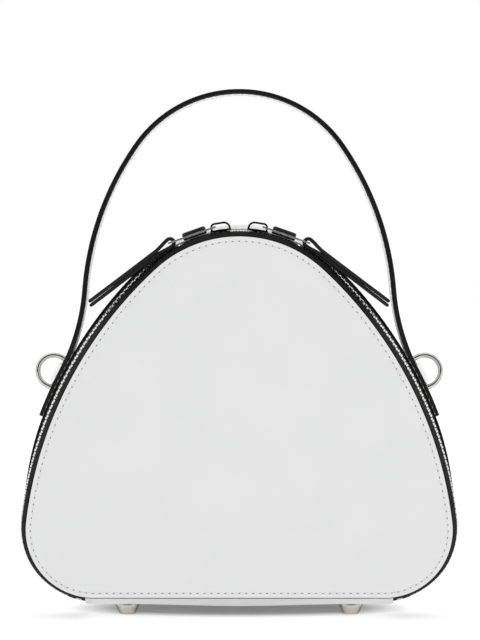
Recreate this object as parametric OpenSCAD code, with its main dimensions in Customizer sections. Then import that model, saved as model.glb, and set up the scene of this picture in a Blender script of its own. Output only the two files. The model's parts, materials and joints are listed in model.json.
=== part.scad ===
// Small structured crossbody bag with a rounded triangular front, a two-way zip and a loop handle.
// X runs along the width, the front faces -Y, +Z is up and the floor is at Z = 0.

/* [Front and back panels] */
// Width of the panels
panel_w = 235; // [220:1:250]
// Height of the panels
panel_h = 199; // [190:1:210]
// Radius of the top arc
top_r = 67.5; // [62:0.5:72]
// Radius of each long side arc
side_r = 227; // [215:1:245]
// Radius of each lower corner
corner_r = 37.4; // [32:0.2:42]
// Depth of the bag from panel face to panel face
bag_d = 90; // [80:1:110]
// Thickness of the panel leather
panel_t = 1.8; // [1.4:0.1:2.2]
// Thickness of the stiffening boards in the panels
stiffener_t = 1.2; // [0.8:0.1:1.6]
// Thickness of the lining cloth
lining_t = 0.6; // [0.4:0.1:0.8]
// Width of the hem turned in under a panel's edge
hem_w = 6; // [5:0.5:8]

/* [Gusset and base] */
// Thickness of the gusset leather
gusset_t = 1.2; // [0.9:0.1:1.5]
// Swell of the gusset beyond the panels along the sides
side_crown = 6.6; // [6:0.1:7.5]
// Swell of the gusset beyond the panels at the top
top_crown = 6.4; // [5.8:0.1:7.5]
// Distance from the front face back to the gusset's front edge
gusset_edge_in = 23; // [22:0.5:24]
// Thickness of the base leather
base_t = 1.3; // [1:0.1:1.6]
// Thickness of the base board
board_t = 1.8; // [1.2:0.1:2.4]
// Drop of the base below the panels
base_drop = 5.9; // [5.4:0.1:6.4]
// Half width of the base, where the zip ends
base_half_w = 85; // [82:0.5:90]

/* [Feet] */
// Height of a foot
foot_h = 6; // [5:0.5:8]
// Diameter of a foot where it meets the base
foot_top_d = 13.6; // [12:0.2:15]
// Diameter of a foot on the floor
foot_floor_d = 9.5; // [8:0.1:11]
// Distance between the feet across the width
foot_span_x = 125; // [110:1:135]
// Distance between the feet across the depth
foot_span_y = 42; // [36:1:44]
// Diameter of a foot's screw
foot_screw_d = 3; // [2.5:0.1:4]

/* [Zip] */
// Distance from the front face back to the zip's centre line
zip_in = 13; // [12.5:0.1:13.5]
// Swell of the zip's centre line beyond the panels
zip_rise = 2.5; // [2.2:0.1:2.8]
// Extra swell of the zip's centre line along the sides
side_lift = 0.6; // [0:0.1:0.8]
// Pitch of the teeth on one tape
tooth_pitch = 3.05; // [3:0.01:3.2]
// Thickness of a tooth along the zip
tooth_t = 1.2; // [1:0.05:1.25]
// Height of a tooth through the tape
tooth_h = 2; // [1.8:0.1:2.1]
// Length of a tooth's legs from the zip's centre line
tooth_leg = 2.6; // [2.4:0.1:2.7]
// Overlap of each tooth past the centre line
tooth_lap = 0.8; // [0.6:0.05:0.9]
// Thickness of the zip tape
tape_t = 0.6; // [0.4:0.05:0.65]
// Slope of the zip along the sides, in degrees
zip_slope = 11.3; // [8:0.1:12]

/* [Sliders and pulls] */
// Distance along the zip from the bag's middle to each slider's nose
slider_nose = 4.2; // [4:0.1:6]
// Length of a slider
slider_l = 11.6; // [11:0.1:12.5]
// Half width of a slider at its nose
slider_nose_w = 5.7; // [5.6:0.1:6]
// Half width of a slider at its tail
slider_tail_w = 4; // [3.8:0.1:4.2]
// Thickness of each slider plate
slider_plate_t = 1; // [0.8:0.1:1.1]
// Thickness of the bridge that holds the pull
bridge_t = 1.1; // [1:0.1:1.2]
// Width of the bridge
bridge_w = 3.4; // [3:0.1:3.6]
// Length of the metal pull plate
pull_l = 26.1; // [25:0.1:28]
// Thickness of the pull plate
pull_t = 1; // [0.8:0.1:1.1]
// Tilt of the pull plate below the horizontal, in degrees
pull_tilt = 19.3; // [18:0.1:20]
// Thickness of the leather pad on top of the pull plate
pull_pad_t = 2.3; // [1:0.1:2.6]
// Thickness of the leather pad below the pull plate
pull_under_t = 1.2; // [0.5:0.1:1.2]
// Length of the leather tab from the end of the pull plate
tab_l = 56.4; // [50:0.2:60]
// Width of the leather tab
tab_w = 9; // [8:0.1:9.2]
// Thickness of each layer of the tab
tab_layer_t = 2; // [1.6:0.1:2]
// Tilt of the leather tab below the horizontal, in degrees
tab_tilt = 37.2; // [36:0.1:39]

/* [Handle] */
// Height of the handle's top above the floor
handle_top = 294; // [285:1:305]
// Width of the handle strap
handle_w = 21; // [18:0.5:23]
// Distance from the bag's middle back to the strap's centre line
handle_back = 8; // [6:0.5:9]
// Thickness of each leather layer of the strap
handle_leather_t = 1.1; // [0.9:0.1:1.3]
// Thickness of the strap's core
handle_core_t = 0.8; // [0.6:0.1:1]
// Radius of the handle's top arc
handle_top_r = 72.2; // [70:0.1:74]

/* [Side rings] */
// Diameter of the ring wire
ring_wire_d = 3; // [2.5:0.1:3.2]
// Outer diameter of the ring
ring_d = 21.4; // [20:0.1:23]
// Length of the straight arms between the ring's bar and its round part
ring_arm = 3.4; // [2:0.1:4]
// Width of the leather tab that holds the ring
ring_tab_w = 11; // [9:0.5:13]
// Thickness of the leather of the ring tab
ring_tab_t = 1.2; // [1:0.1:1.4]
// Distance from the bag's middle back to the ring
ring_back = 23.5; // [23.5:0.1:24]

/* [Hidden] */

$fn = 48;
// Clearance between pieces that rest against each other
fit = 0.1;
// Overrun of every cut
over = 1;

leather_white = [0.9, 0.9, 0.89];
leather_black = [0.14, 0.14, 0.14];
metal = [0.73, 0.7, 0.67];
cloth = [0.2, 0.2, 0.2];

// Heights and depths that the panels set
panel_z = foot_h + base_drop + fit;
face_y = bag_d / 2;
zip_y = zip_in - face_y;
gusset_y = gusset_edge_in - face_y;

// Centres of the arcs that touch each other round the panel's outline
top_c = [0, panel_z + panel_h - top_r];
corner_c = [panel_w / 2 - corner_r, panel_z + corner_r];
link = corner_c - top_c;
link_l = norm(link);
top_gap = side_r - top_r;
corner_gap = side_r - corner_r;
link_share = (top_gap * top_gap - corner_gap * corner_gap + link_l * link_l) / (2 * link_l * link_l);
side_back = sqrt(top_gap * top_gap - link_share * link_share * link_l * link_l);
side_c = top_c + link_share * link + side_back / link_l * [link[1], -link[0]];
top_turn = atan2(top_c[0] - side_c[0], top_c[1] - side_c[1]);
side_turn = atan2(corner_c[0] - side_c[0], corner_c[1] - side_c[1]);

// Lengths along the outline from the top middle
function arc_l(r, turn) = r * turn * PI / 180;
function arc_turn(r, l) = l / r * 180 / PI;
top_l = arc_l(top_r, top_turn);
side_l = top_l + arc_l(side_r, side_turn - top_turn);
corner_l = side_l + arc_l(corner_r, 180 - side_turn);
half_l = corner_l + corner_c[0];
zip_end_turn = asin((base_half_w - corner_c[0]) / corner_r);
zip_end = corner_l - arc_l(corner_r, zip_end_turn);

// Angle of the outline's outward direction from +Z at a length from the top middle
function lean_half(s) =
    s < top_l ? arc_turn(top_r, s) :
    s < side_l ? top_turn + arc_turn(side_r, s - top_l) :
    s < corner_l ? side_turn + arc_turn(corner_r, s - side_l) : 180;
function spot_half(s, a) =
    s < top_l ? top_c + top_r * [sin(a), cos(a)] :
    s < side_l ? side_c + side_r * [sin(a), cos(a)] :
    s < corner_l ? corner_c + corner_r * [sin(a), cos(a)] : [half_l - s, panel_z];
function lean(s) = sign(s) * lean_half(abs(s));
// Point at length s, swelling off beyond the outline, at depth y
function at(s, off, y) =
    let (a = lean_half(abs(s)), p = spot_half(abs(s), a) + off * [sin(a), cos(a)])
    [s < 0 ? -p[0] : p[0], y, p[1]];

// Lengths from the top middle between which the parted tapes come together
part_hold = 2.3;
part_run = 6;
part_near = slider_nose + part_hold;
part_far = part_near + part_run;

// Stations along the outline: top arc, side arcs and corner arcs, closer where the tapes part
near_steps = 3;
part_steps = 5;
top_steps = 8;
side_steps = 14;
corner_steps = 12;
function steps(a, b, n) = [for (i = [1:n]) a + (b - a) * i / n];
half_stations = concat(steps(0, part_near, near_steps), steps(part_near, part_far, part_steps),
    steps(part_far, top_l, top_steps), steps(top_l, side_l, side_steps),
    steps(side_l, zip_end, corner_steps));
end_stations = [(zip_end + corner_l) / 2, corner_l];
function backward(list) = [for (i = [len(list) - 1:-1:0]) list[i]];
function negative(list) = [for (v = list) -v];
arch_stations = concat(backward(negative(half_stations)), [0], half_stations);
// The base has stations on both sides of each foot, so that no facet's edge meets a screw hole
foot_x = foot_span_x / 2;
beside_foot = (corner_c[0] - foot_x) / 2;
foot_stations = [for (x = [foot_x + beside_foot, foot_x - beside_foot, foot_x / 2, foot_x / 4]) half_l - x];
base_half = concat([zip_end], end_stations, foot_stations);
base_stations = concat(base_half, [half_l], backward(negative(base_half)));
loop_stations = concat([0], half_stations, end_stations, negative(backward(end_stations)),
    backward(negative(half_stations)));

// Shares of the zip's and gusset's shapes at a length from the top middle: the side's is 0 near the
// sliders and 1 from the sides on, the low one is 1 round the lower corners, the end's is 1 at the zip's ends
flat_l = 24;
blend_l = 34;
low_start = 156;
low_l = 40;
end_l = 38;
end_flat_l = 6;
function ease(t) = let (c = min(1, max(0, t))) c * c * (3 - 2 * c);
function side_share(s) = ease((abs(s) - flat_l) / blend_l);
function low_share(s) = ease((abs(s) - low_start) / low_l);
function end_share(s) = ease((abs(s) - zip_end + end_l) / (end_l - end_flat_l));
function mix(a, b, t) = a + (b - a) * t;
function by_place(s, top, side, low) = mix(mix(top, side, side_share(s)), low, low_share(s));

// Flat outline grown by off, and a plate of it between two depths
module outline(off) {
    polygon([for (s = loop_stations) let (p = at(s, off, 0)) [p[0], p[2]]]);
}
module plate(off, y0, y1) {
    translate([0, y1, 0]) rotate([90, 0, 0]) linear_extrude(y1 - y0) outline(off);
}
module ring_plate(off_out, off_in, y0, y1) {
    difference() {
        plate(off_out, y0, y1);
        plate(off_in, y0 - over, y1 + over);
    }
}

// Solid swept through sections that hold the same count of points each. The two faces of a section
// start side by side, or at a tip where the count is odd, and its ends close rung by rung between them
module swept(sections) {
    n = len(sections[0]);
    m = len(sections);
    tip = n % 2;
    points = [for (section = sections) each section];
    sides = [for (i = [0:m - 2], j = [0:n - 1]) let (k = (j + 1) % n)
        each [[i * n + j, i * n + k, (i + 1) * n + k], [i * n + j, (i + 1) * n + k, (i + 1) * n + j]]];
    rungs = [for (k = [0:(n + tip) / 2 - 2]) let (far = n - 1 + tip - k)
        [k, k + 1, far - 1, if (far < n) far]];
    first = [for (rung = rungs) backward(rung)];
    last = [for (rung = rungs) [for (j = rung) (m - 1) * n + j]];
    polyhedron(points, concat(sides, first, last), convexity = 10);
}

// Places children at length s with +Z pointing outward and +X along the outline
module on_outline(s, off, y) {
    translate(at(s, off, y)) rotate([0, lean(s), 0]) children();
}
// Extrudes a profile drawn in depth and height along the outline's direction
module along(l) {
    rotate([90, 0, 90]) linear_extrude(l, center = true) children();
}

// Zip: how far the two tapes part towards the middle, and the slope of the chain
part_gap = 1.9;
function parting(s) = part_gap * ease((part_far - abs(s)) / (part_far - part_near));
low_slope_share = 0.45;
function slope_at(s) = zip_slope * by_place(s, 0, 1, low_slope_share);
function rise(s) = zip_rise + side_lift * side_share(s) * (1 - end_share(s));
function chain_off(s, u) = rise(s) + tan(slope_at(s)) * u;
tape_edge = 1.4;
tape_bend = 6.4;
half_tape = tape_t / 2;

module front_zip_tape() {
    hem_y = panel_t - face_y;
    color(leather_black) swept([for (s = arch_stations) let (edge = -tape_edge - parting(s))
        [
            at(s, chain_off(s, edge) - half_tape, zip_y + edge),
            at(s, chain_off(s, -tape_bend) - half_tape, zip_y - tape_bend),
            at(s, -half_tape, hem_y + tape_t),
            at(s, -hem_w, hem_y + tape_t),
            at(s, -hem_w, hem_y),
            at(s, tape_t, hem_y),
            at(s, chain_off(s, -tape_bend) + half_tape, zip_y - tape_bend),
            at(s, chain_off(s, edge) + half_tape, zip_y + edge),
        ]]);
}

// Gusset: outer surface by depth, from its front edge over the crown to the back panel
gusset_skive = 0.8;
edge_rise_top = 3.4;
edge_rise_side = 5.6;
edge_rise_low = 4.4;
gusset_depth = face_y - panel_t - gusset_y;
gusset_shares = [0, 0.14, 0.38, 0.66, 0.83, 0.94, 1];
swell_shares = [0, 0.6, 1, 0.96, 0.78, 0.44, 0.07];
function inner_edge(s) = by_place(s, edge_rise_top, edge_rise_side, edge_rise_low);
function outer_edge(s) = inner_edge(s) + gusset_skive;
function crown(s) = by_place(s, top_crown, side_crown, base_drop);
function gusset_depth_at(i) = gusset_y + gusset_depth * gusset_shares[i];
function gusset_off(s, i) =
    i < 2 ? mix(outer_edge(s), crown(s), swell_shares[i]) : crown(s) * swell_shares[i];
// Depths of the inner surface lag behind the outer ones where the gusset turns down
inner_lag_shares = [0, 0, 0, 0.15, 0.6, 0.95, 1];
inner_sink_shares = [1, 1, 1, 1, 1, 0.75, 0.75];
function inner_depth_at(i, t) = gusset_depth_at(i) - t * inner_lag_shares[i];
function inner_off(s, i, t) = gusset_off(s, i) - t * inner_sink_shares[i];

module rear_gusset() {
    hem_y = face_y - panel_t;
    color(leather_white) swept([for (s = arch_stations)
        concat(
            [for (i = [0:6]) at(s, gusset_off(s, i), gusset_depth_at(i))],
            [at(s, -hem_w, hem_y), at(s, -hem_w, hem_y - gusset_t)],
            [for (i = [6:-1:1]) at(s, inner_off(s, i, gusset_t), inner_depth_at(i, gusset_t))],
            [at(s, inner_edge(s), gusset_y)]
        )]);
}

// Distances of the linings' edges in from the outline
front_lining_in = 1.8;
back_lining_in = 1.2;
module gusset_lining() {
    inset = gusset_t + fit;
    deep = inset + lining_t;
    end_y = inner_y - lining_t - fit;
    color(cloth) swept([for (s = arch_stations)
        concat(
            [for (i = [1:5]) at(s, inner_off(s, i, inset), inner_depth_at(i, inset))],
            [at(s, -back_lining_in, end_y), at(s, -back_lining_in - lining_t, end_y)],
            [for (i = [5:-1:1]) at(s, inner_off(s, i, deep), inner_depth_at(i, deep))]
        )]);
}

module rear_zip_tape() {
    tuck = gusset_depth_at(1) - fit;
    color(leather_black) swept([for (s = arch_stations) let (edge = tape_edge + parting(s))
        let (under = inner_edge(s) - fit, deep = inner_off(s, 1, gusset_t) - fit)
        [
            at(s, chain_off(s, edge) + half_tape, zip_y + edge),
            at(s, chain_off(s, tape_bend) + half_tape, zip_y + tape_bend),
            at(s, under, gusset_y),
            at(s, min(under, deep), tuck),
            at(s, min(under, deep) - tape_t, tuck),
            at(s, under - tape_t, gusset_y),
            at(s, chain_off(s, tape_bend) - half_tape, zip_y + tape_bend),
            at(s, chain_off(s, edge) - half_tape, zip_y + edge),
        ]]);
}

// Teeth: two legs that clamp the tape's edge and a head that laps past the centre line
leg_slot = tape_t + 4 * fit;
slot_end = tape_edge - 2 * fit;
head_bevel = 0.55;
module tooth_profile(lap) {
    h = tooth_h / 2;
    polygon([
        [lap, h - head_bevel], [lap - head_bevel, h], [-tooth_leg + head_bevel, h],
        [-tooth_leg, leg_slot / 2], [-slot_end, leg_slot / 2],
        [-slot_end, -leg_slot / 2], [-tooth_leg, -leg_slot / 2],
        [-tooth_leg + head_bevel, -h], [lap - head_bevel, -h], [lap, head_bevel - h]
    ]);
}
// facing is 1 for the front tape's teeth and -1 for the rear tape's
module zip_piece(s, facing) {
    on_outline(s, rise(s), zip_y) rotate([slope_at(s), 0, 0])
        mirror([0, facing < 0 ? 1 : 0, 0]) translate([0, -parting(s), 0]) children();
}
stop_l = 3;
stop_in = 3.5;
chain_end = zip_end - stop_in - stop_l / 2 - tooth_pitch / 2;
chain_count = floor(chain_end / tooth_pitch - 0.5);
module teeth(facing) {
    offset_share = facing > 0 ? 0.25 : 0.75;
    for (i = [-chain_count:chain_count - 1]) {
        zip_piece((i + offset_share) * tooth_pitch, facing) along(tooth_t) tooth_profile(tooth_lap);
    }
}
module front_zip_teeth() {
    color(metal) teeth(1);
}
module rear_zip_teeth() {
    color(metal) teeth(-1);
}
// Round-nosed stops that close both ends of the chain
stop_nose = tooth_h / 2;
stop_gap = 0.15;
stop_back = stop_nose + stop_gap;
module stops(facing) {
    for (side = [-1, 1]) {
        zip_piece(side * (zip_end - stop_in), facing) along(stop_l) union() {
            tooth_profile(-stop_back);
            translate([-stop_back, 0]) intersection() {
                circle(stop_nose);
                translate([-stop_nose / 8, -stop_nose]) square([2 * stop_nose, 2 * stop_nose]);
            }
        }
    }
}
module front_zip_stops() {
    color(metal) stops(1);
}
module rear_zip_stops() {
    color(metal) stops(-1);
}

// Panels, each a leather face over a stiffening board, with a lining inside
inner_y = face_y - panel_t - stiffener_t;
module front_panel() {
    color(leather_white) plate(0, -face_y, panel_t - face_y);
}
module front_stiffener() {
    color(cloth) plate(-hem_w - 2 * fit, panel_t - face_y, -inner_y);
}
module front_lining() {
    color(cloth) {
        plate(-front_lining_in, -inner_y, lining_t - inner_y);
        ring_plate(-front_lining_in, -hem_w, panel_t + base_hem_t - face_y, -inner_y);
    }
}
module back_panel() {
    color(leather_white) plate(0, face_y - panel_t, face_y);
}
module back_stiffener() {
    color(cloth) plate(-hem_w - fit, inner_y, face_y - panel_t);
}
module back_lining() {
    color(cloth) plate(-back_lining_in, inner_y - lining_t, inner_y);
}

// Base: a front strip that folds with the front panel, and a floor that carries the feet
base_hem_t = 0.6;
fold_gap = 0.15;
fold_r = base_t / 2;
fold_in = fold_r + fold_gap;
fold_sides = 6;
function fold_point(s, facing, t) =
    at(s, zip_rise + fold_r * sin(t), zip_y - facing * (fold_in - fold_r * cos(t)));
// Half of the fold's round, away from its tip towards the outside or the inside
function fold_half(s, facing, side) =
    [for (i = [1:fold_sides / 2]) fold_point(s, facing, side * i * 180 / fold_sides)];

module front_base_strip() {
    hem_y = panel_t - face_y;
    color(leather_white) swept([for (s = base_stations)
        concat(
            [fold_point(s, 1, 0)],
            fold_half(s, 1, -1),
            [at(s, -base_hem_t / 2, hem_y + base_hem_t), at(s, -hem_w, hem_y + base_hem_t)],
            [at(s, -hem_w, hem_y), at(s, base_hem_t / 2, hem_y)],
            backward(fold_half(s, 1, 1))
        )]);
}
// Base outer surface by depth and by share of its drop
front_turn_shares = [0.12, 0.3, 0.42];
front_lag_shares = [0.75, 0.75, 0.35];
front_sink_shares = [0.6, 0.6, 1];
front_drop_shares = [0.18, 0.85, 1];
front_run = 11;
back_run = 14;
back_turn_shares = [0, 0.5, 0.86, 1];
back_drop_shares = [1, 0.78, 0.36, 0.07];
back_lag_shares = [0, 0.3, 0.8, 0.9];
back_sink_shares = [1, 0.95, 0.6, 0.5];
function base_front_y(i, t) = zip_y + front_run * front_turn_shares[i] + t * front_lag_shares[i];
function base_front_off(i, t) =
    mix(zip_rise + fold_r, base_drop, front_drop_shares[i]) - t * front_sink_shares[i];
function base_back_y(i, t) = face_y - panel_t - back_run * (1 - back_turn_shares[i]) - t * back_lag_shares[i];
function base_back_off(i, t) = base_drop * back_drop_shares[i] - t * back_sink_shares[i];
module base_panel() {
    hem_y = face_y - panel_t;
    color(leather_white) difference() {
        swept([for (s = base_stations)
            concat(
                [fold_point(s, -1, 0)],
                fold_half(s, -1, 1),
                [for (i = [0:2]) at(s, base_front_off(i, 0), base_front_y(i, 0))],
                [for (i = [0:3]) at(s, base_back_off(i, 0), base_back_y(i, 0))],
                [at(s, -hem_w, hem_y), at(s, -hem_w, hem_y - gusset_t)],
                [for (i = [3:-1:0]) at(s, base_back_off(i, base_t), base_back_y(i, base_t))],
                [for (i = [2:-1:0]) at(s, base_front_off(i, base_t), base_front_y(i, base_t))],
                backward(fold_half(s, -1, -1))
            )]);
        foot_holes();
    }
}

// Feet: truncated cones with a screw that goes up through the board to a nut
board_z = foot_h + fit + base_t;
board_side_gap = 1.44;
board_x = corner_c[0] - board_side_gap;
board_front = base_front_y(2, base_t) + gusset_t;
board_back = base_back_y(0, base_t);
lining_z = board_z + board_t;
nut_z = lining_z + lining_t;
nut_t = 1.6;
nut_d = 8;
foot_round = 0.7;
module each_foot() {
    for (x = [-1, 1], y = [-1, 1])
        translate([x * foot_x, y * foot_span_y / 2, 0]) children();
}
module foot_holes() {
    each_foot() translate([0, 0, -over]) cylinder(h = nut_z + 2 * over, d = foot_screw_d + fit);
}
module base_board() {
    color(cloth) difference() {
        translate([-board_x, board_front, board_z]) cube([2 * board_x, board_back - board_front, board_t]);
        foot_holes();
    }
}
module base_lining() {
    color(cloth) difference() {
        translate([-board_x, board_front, lining_z]) cube([2 * board_x, board_back - board_front, lining_t]);
        foot_holes();
    }
}
module feet() {
    color(metal) each_foot() rotate_extrude() {
        polygon([
            [0, 0], [foot_floor_d / 2 - foot_round, 0], [foot_floor_d / 2, foot_round],
            [foot_top_d / 2, foot_h - foot_round], [foot_top_d / 2, foot_h],
            [foot_screw_d / 2, foot_h], [foot_screw_d / 2, nut_z + nut_t], [0, nut_z + nut_t]
        ]);
    }
}
module foot_nuts() {
    color(metal) each_foot() translate([0, 0, nut_z]) difference() {
        cylinder(h = nut_t, d = nut_d);
        translate([0, 0, -over]) cylinder(h = nut_t + 2 * over, d = foot_screw_d + fit);
    }
}

// Handle: a strap of two leathers over a core, in tangent arcs, sewn flat on the gusset
handle_t = 2 * handle_leather_t + handle_core_t;
handle_turn_1 = 54.9;
handle_turn_2 = 85.4;
handle_turn_3 = 62.5;
handle_turn_end = 69.2;
handle_off = side_crown + fit + handle_t;
function swing(a, b) = [sin(b) - sin(a), cos(b) - cos(a)];
landing = side_c + (side_r + handle_off) * [sin(handle_turn_3), cos(handle_turn_3)];
handle_reach = landing - [0, handle_top] - handle_top_r * swing(0, handle_turn_1);
outward = swing(handle_turn_1, handle_turn_2);
inward = swing(handle_turn_3, handle_turn_2);
span_det = outward[0] * inward[1] - outward[1] * inward[0];
handle_side_r = (handle_reach[0] * inward[1] - handle_reach[1] * inward[0]) / span_det;
handle_foot_r = (outward[0] * handle_reach[1] - outward[1] * handle_reach[0]) / span_det;
knee = [0, handle_top] + handle_top_r * swing(0, handle_turn_1);
hip = knee + handle_side_r * outward;
handle_steps = 12;
landing_steps = 3;
// Points of the strap's surface, in by t from its outer face
function heading(a) = [sin(a), cos(a)];
function handle_half(t) = concat(
    [for (a = steps(0, handle_turn_1, handle_steps))
        [0, handle_top] + handle_top_r * swing(0, a) - t * heading(a)],
    [for (a = steps(handle_turn_1, handle_turn_2, handle_steps))
        knee + handle_side_r * swing(handle_turn_1, a) - t * heading(a)],
    [for (a = steps(handle_turn_2, handle_turn_3, handle_steps))
        hip + handle_foot_r * swing(a, handle_turn_2) - t * heading(a)],
    [for (a = steps(handle_turn_3, handle_turn_end, landing_steps))
        side_c + (side_r + handle_off - t) * heading(a)]);
function mirrored(list) = [for (p = list) [-p[0], p[1]]];
function handle_line(t) = concat(backward(mirrored(handle_half(t))), [[0, handle_top - t]], handle_half(t));
handle_y = handle_back + handle_w / 2;
module strap_layer(t0, t1) {
    translate([0, handle_y, 0]) rotate([90, 0, 0]) linear_extrude(handle_w)
        polygon(concat(handle_line(t0), backward(handle_line(t1))));
}
module handle_outer() {
    color(leather_white) strap_layer(0, handle_leather_t);
}
module handle_core() {
    color(leather_black) strap_layer(handle_leather_t, handle_leather_t + handle_core_t);
}
module handle_inner() {
    color(leather_white) strap_layer(handle_leather_t + handle_core_t, handle_t);
}

// Side rings: each a D of round wire, its bar held by a folded leather tab on the gusset
ring_turn = 63.5;
ring_s = top_l + arc_l(side_r, ring_turn - top_turn);
ring_arc_r = (ring_d - ring_wire_d) / 2;
bar_r = ring_wire_d / 2;
loop_gap = 0.15;
loop_in = bar_r + loop_gap;
loop_out = loop_in + ring_tab_t;
bar_off = side_crown + fit + loop_out;
ring_tail = 11;
// Gusset's outer surface between its crown and where it turns down to the back panel
function gusset_line(y) = let (i = y < gusset_depth_at(3) ? 2 : 3)
    side_crown * mix(swell_shares[i], swell_shares[i + 1],
        (y - gusset_depth_at(i)) / (gusset_depth_at(i + 1) - gusset_depth_at(i)));
tail_points = [gusset_depth_at(3), ring_back + ring_tail];
module ring_tab(side) {
    color(leather_white) on_outline(side * ring_s, 0, 0) along(ring_tab_w) difference() {
        union() {
            translate([ring_back, bar_off]) circle(loop_out);
            polygon([
                [ring_back, bar_off - loop_out], [tail_points[0], gusset_line(tail_points[0]) + fit],
                [tail_points[1], gusset_line(tail_points[1]) + fit],
                [tail_points[1], gusset_line(tail_points[1]) + fit + 2 * ring_tab_t],
                [ring_back + loop_out, bar_off - loop_in + ring_tab_t], [ring_back + loop_in, bar_off],
                [ring_back, bar_off - loop_in]
            ]);
        }
        translate([ring_back, bar_off]) circle(loop_in);
    }
}
module side_ring(side) {
    color(metal) on_outline(side * ring_s, bar_off, ring_back) {
        rotate([0, 90, 0]) cylinder(h = 2 * ring_arc_r, r = bar_r, center = true);
        for (x = [-ring_arc_r, ring_arc_r]) translate([x, 0, 0]) {
            sphere(bar_r);
            cylinder(h = ring_arm, r = bar_r);
        }
        translate([0, 0, ring_arm]) rotate([90, 0, 0])
            rotate_extrude(angle = 180) translate([ring_arc_r, 0]) circle(bar_r);
    }
}
module ring_tab_left() {
    ring_tab(-1);
}
module ring_tab_right() {
    ring_tab(1);
}
module ring_left() {
    side_ring(-1);
}
module ring_right() {
    side_ring(1);
}

// Sliders: drawn round the top arc's centre with +Z through the slider's middle
chain_r = top_r + zip_rise;
slider_mid = slider_nose + slider_l / 2;
slider_turn = arc_turn(chain_r, slider_mid);
upper_gap = 0.2;
lower_gap = 0.45;
upper_r = chain_r + tooth_h / 2 + upper_gap;
lower_r = chain_r - tooth_h / 2 - lower_gap;
upper_mid_r = upper_r + slider_plate_t / 2;
lower_mid_r = lower_r - slider_plate_t / 2;
shoulder_share = 0.55;
flange_t = 0.8;
lip_gap = 0.25;
post_l = 2.4;
post_w = 1.5;
// Bridge: a small arc round the pull's pivot at the tail and a larger one at the nose
arch_room = 1.2;
arch_r = bridge_t + arch_room;
pivot_rise = 1.6;
pivot_r = upper_r + slider_plate_t + pivot_rise;
tail_in = 0.35;
pivot_x = slider_l / 2 - arch_r - tail_in;
crest_rise = 0.1;
crest_arc_r = 3.8;
crest_at = [crest_arc_r + fit - slider_l / 2, pivot_r + arch_r + crest_rise - crest_arc_r];
bridge_steps = 9;
module in_slider(side) {
    mirror([side < 0 ? 1 : 0, 0, 0]) translate([0, 0, top_c[1]]) rotate([0, slider_turn, 0]) children();
}
rim_sides = 180;
module rim(r0, r1) {
    translate([0, zip_y, 0]) rotate([90, 0, 0]) linear_extrude(4 * slider_nose_w, center = true)
        difference() {
            circle(r1, $fn = rim_sides);
            circle(r0, $fn = rim_sides);
        }
}
// Plan of the slider, in by t along its sides
module slider_plan(t) {
    l = slider_l / 2;
    polygon([
        [-l, slider_nose_w - t], [mix(-l, l, shoulder_share), slider_nose_w - t], [l, slider_tail_w - t],
        [l, t - slider_tail_w], [mix(-l, l, shoulder_share), t - slider_nose_w], [-l, t - slider_nose_w]
    ]);
}
module slab(r0, r1) {
    intersection() {
        rim(r0, r1);
        translate([0, zip_y, 0]) linear_extrude(2 * chain_r) children();
    }
}
module slider(side) {
    color(metal) in_slider(side) {
        slab(upper_r, upper_r + slider_plate_t) slider_plan(0);
        slab(lower_r - slider_plate_t, lower_r) slider_plan(0);
        // Lips on the rear side only, so that the front tape can leave sideways
        lip_r = half_tape + lip_gap;
        for (r = [[chain_r + lip_r, upper_mid_r], [lower_mid_r, chain_r - lip_r]]) {
            slab(r[0], r[1]) difference() {
                slider_plan(0);
                slider_plan(flange_t);
                translate([-slider_l, -2 * slider_nose_w]) square([2 * slider_l, 2 * slider_nose_w]);
            }
        }
        // Wedge between the two mouths
        slab(lower_mid_r, upper_mid_r) translate([-slider_l / 2 + post_l / 2 + fit, 0])
            scale([post_l / post_w, 1]) rotate(45) square(post_w / sqrt(2), center = true);
        translate([0, zip_y, 0]) rotate([90, 0, 0]) linear_extrude(bridge_w, center = true) bridge_profile();
    }
}
// Line of the bridge from its tail foot to its nose foot, in by t from its outer face
function arc_from(c, r, a) = [for (i = [0:bridge_steps])
    let (b = a + i * 90 / bridge_steps) c + r * [cos(b), sin(b)]];
function bridge_line(t) = concat(
    [[pivot_x + arch_r - t, upper_mid_r]],
    arc_from([pivot_x, pivot_r], arch_r - t, 0),
    arc_from(crest_at, crest_arc_r - t, 90),
    [[crest_at[0] - crest_arc_r + t, upper_mid_r]]);
module bridge_profile() {
    polygon(concat(bridge_line(0), backward(bridge_line(bridge_t))));
}
module slider_left() {
    slider(-1);
}
module slider_right() {
    slider(1);
}

// Pull: a metal plate on the bridge, leather pads on both faces and a folded leather tab
pivot_spin = atan2(pivot_x, pivot_r) + slider_turn;
pivot_far = norm([pivot_x, pivot_r]);
pivot_at = [pivot_far * sin(pivot_spin), zip_y, top_c[1] + pivot_far * cos(pivot_spin)];
eye_bar = 0.7;
eye_rim = 1.1;
eye_slack = 0.9;
eye_side_gap = 0.5;
eye_hole_l = arch_r + eye_slack - eye_bar;
eye_hole_w = bridge_w + 2 * eye_side_gap;
eye_w = eye_hole_w + 2 * eye_rim;
pad_margin = 1.5;
pad_start = eye_bar + eye_hole_l + pad_margin;
pad_l = 14;
pad_w = 8;
plate_inset = 0.8;
plate_w = pad_w - 2 * plate_inset;
tab_hole_l = 4.2;
tab_side_gap = 0.4;
frame_rim = 1.3;
tab_hole_w = tab_w + 2 * tab_side_gap;
tab_frame_w = tab_hole_w + 2 * frame_rim;
end_bar = 2;
bar_x = pull_l;
frame_l = tab_hole_l + 2 * end_bar;
module in_pull(side) {
    mirror([side < 0 ? 1 : 0, 0, 0]) translate(pivot_at) rotate([0, pull_tilt, 0]) children();
}
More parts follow.
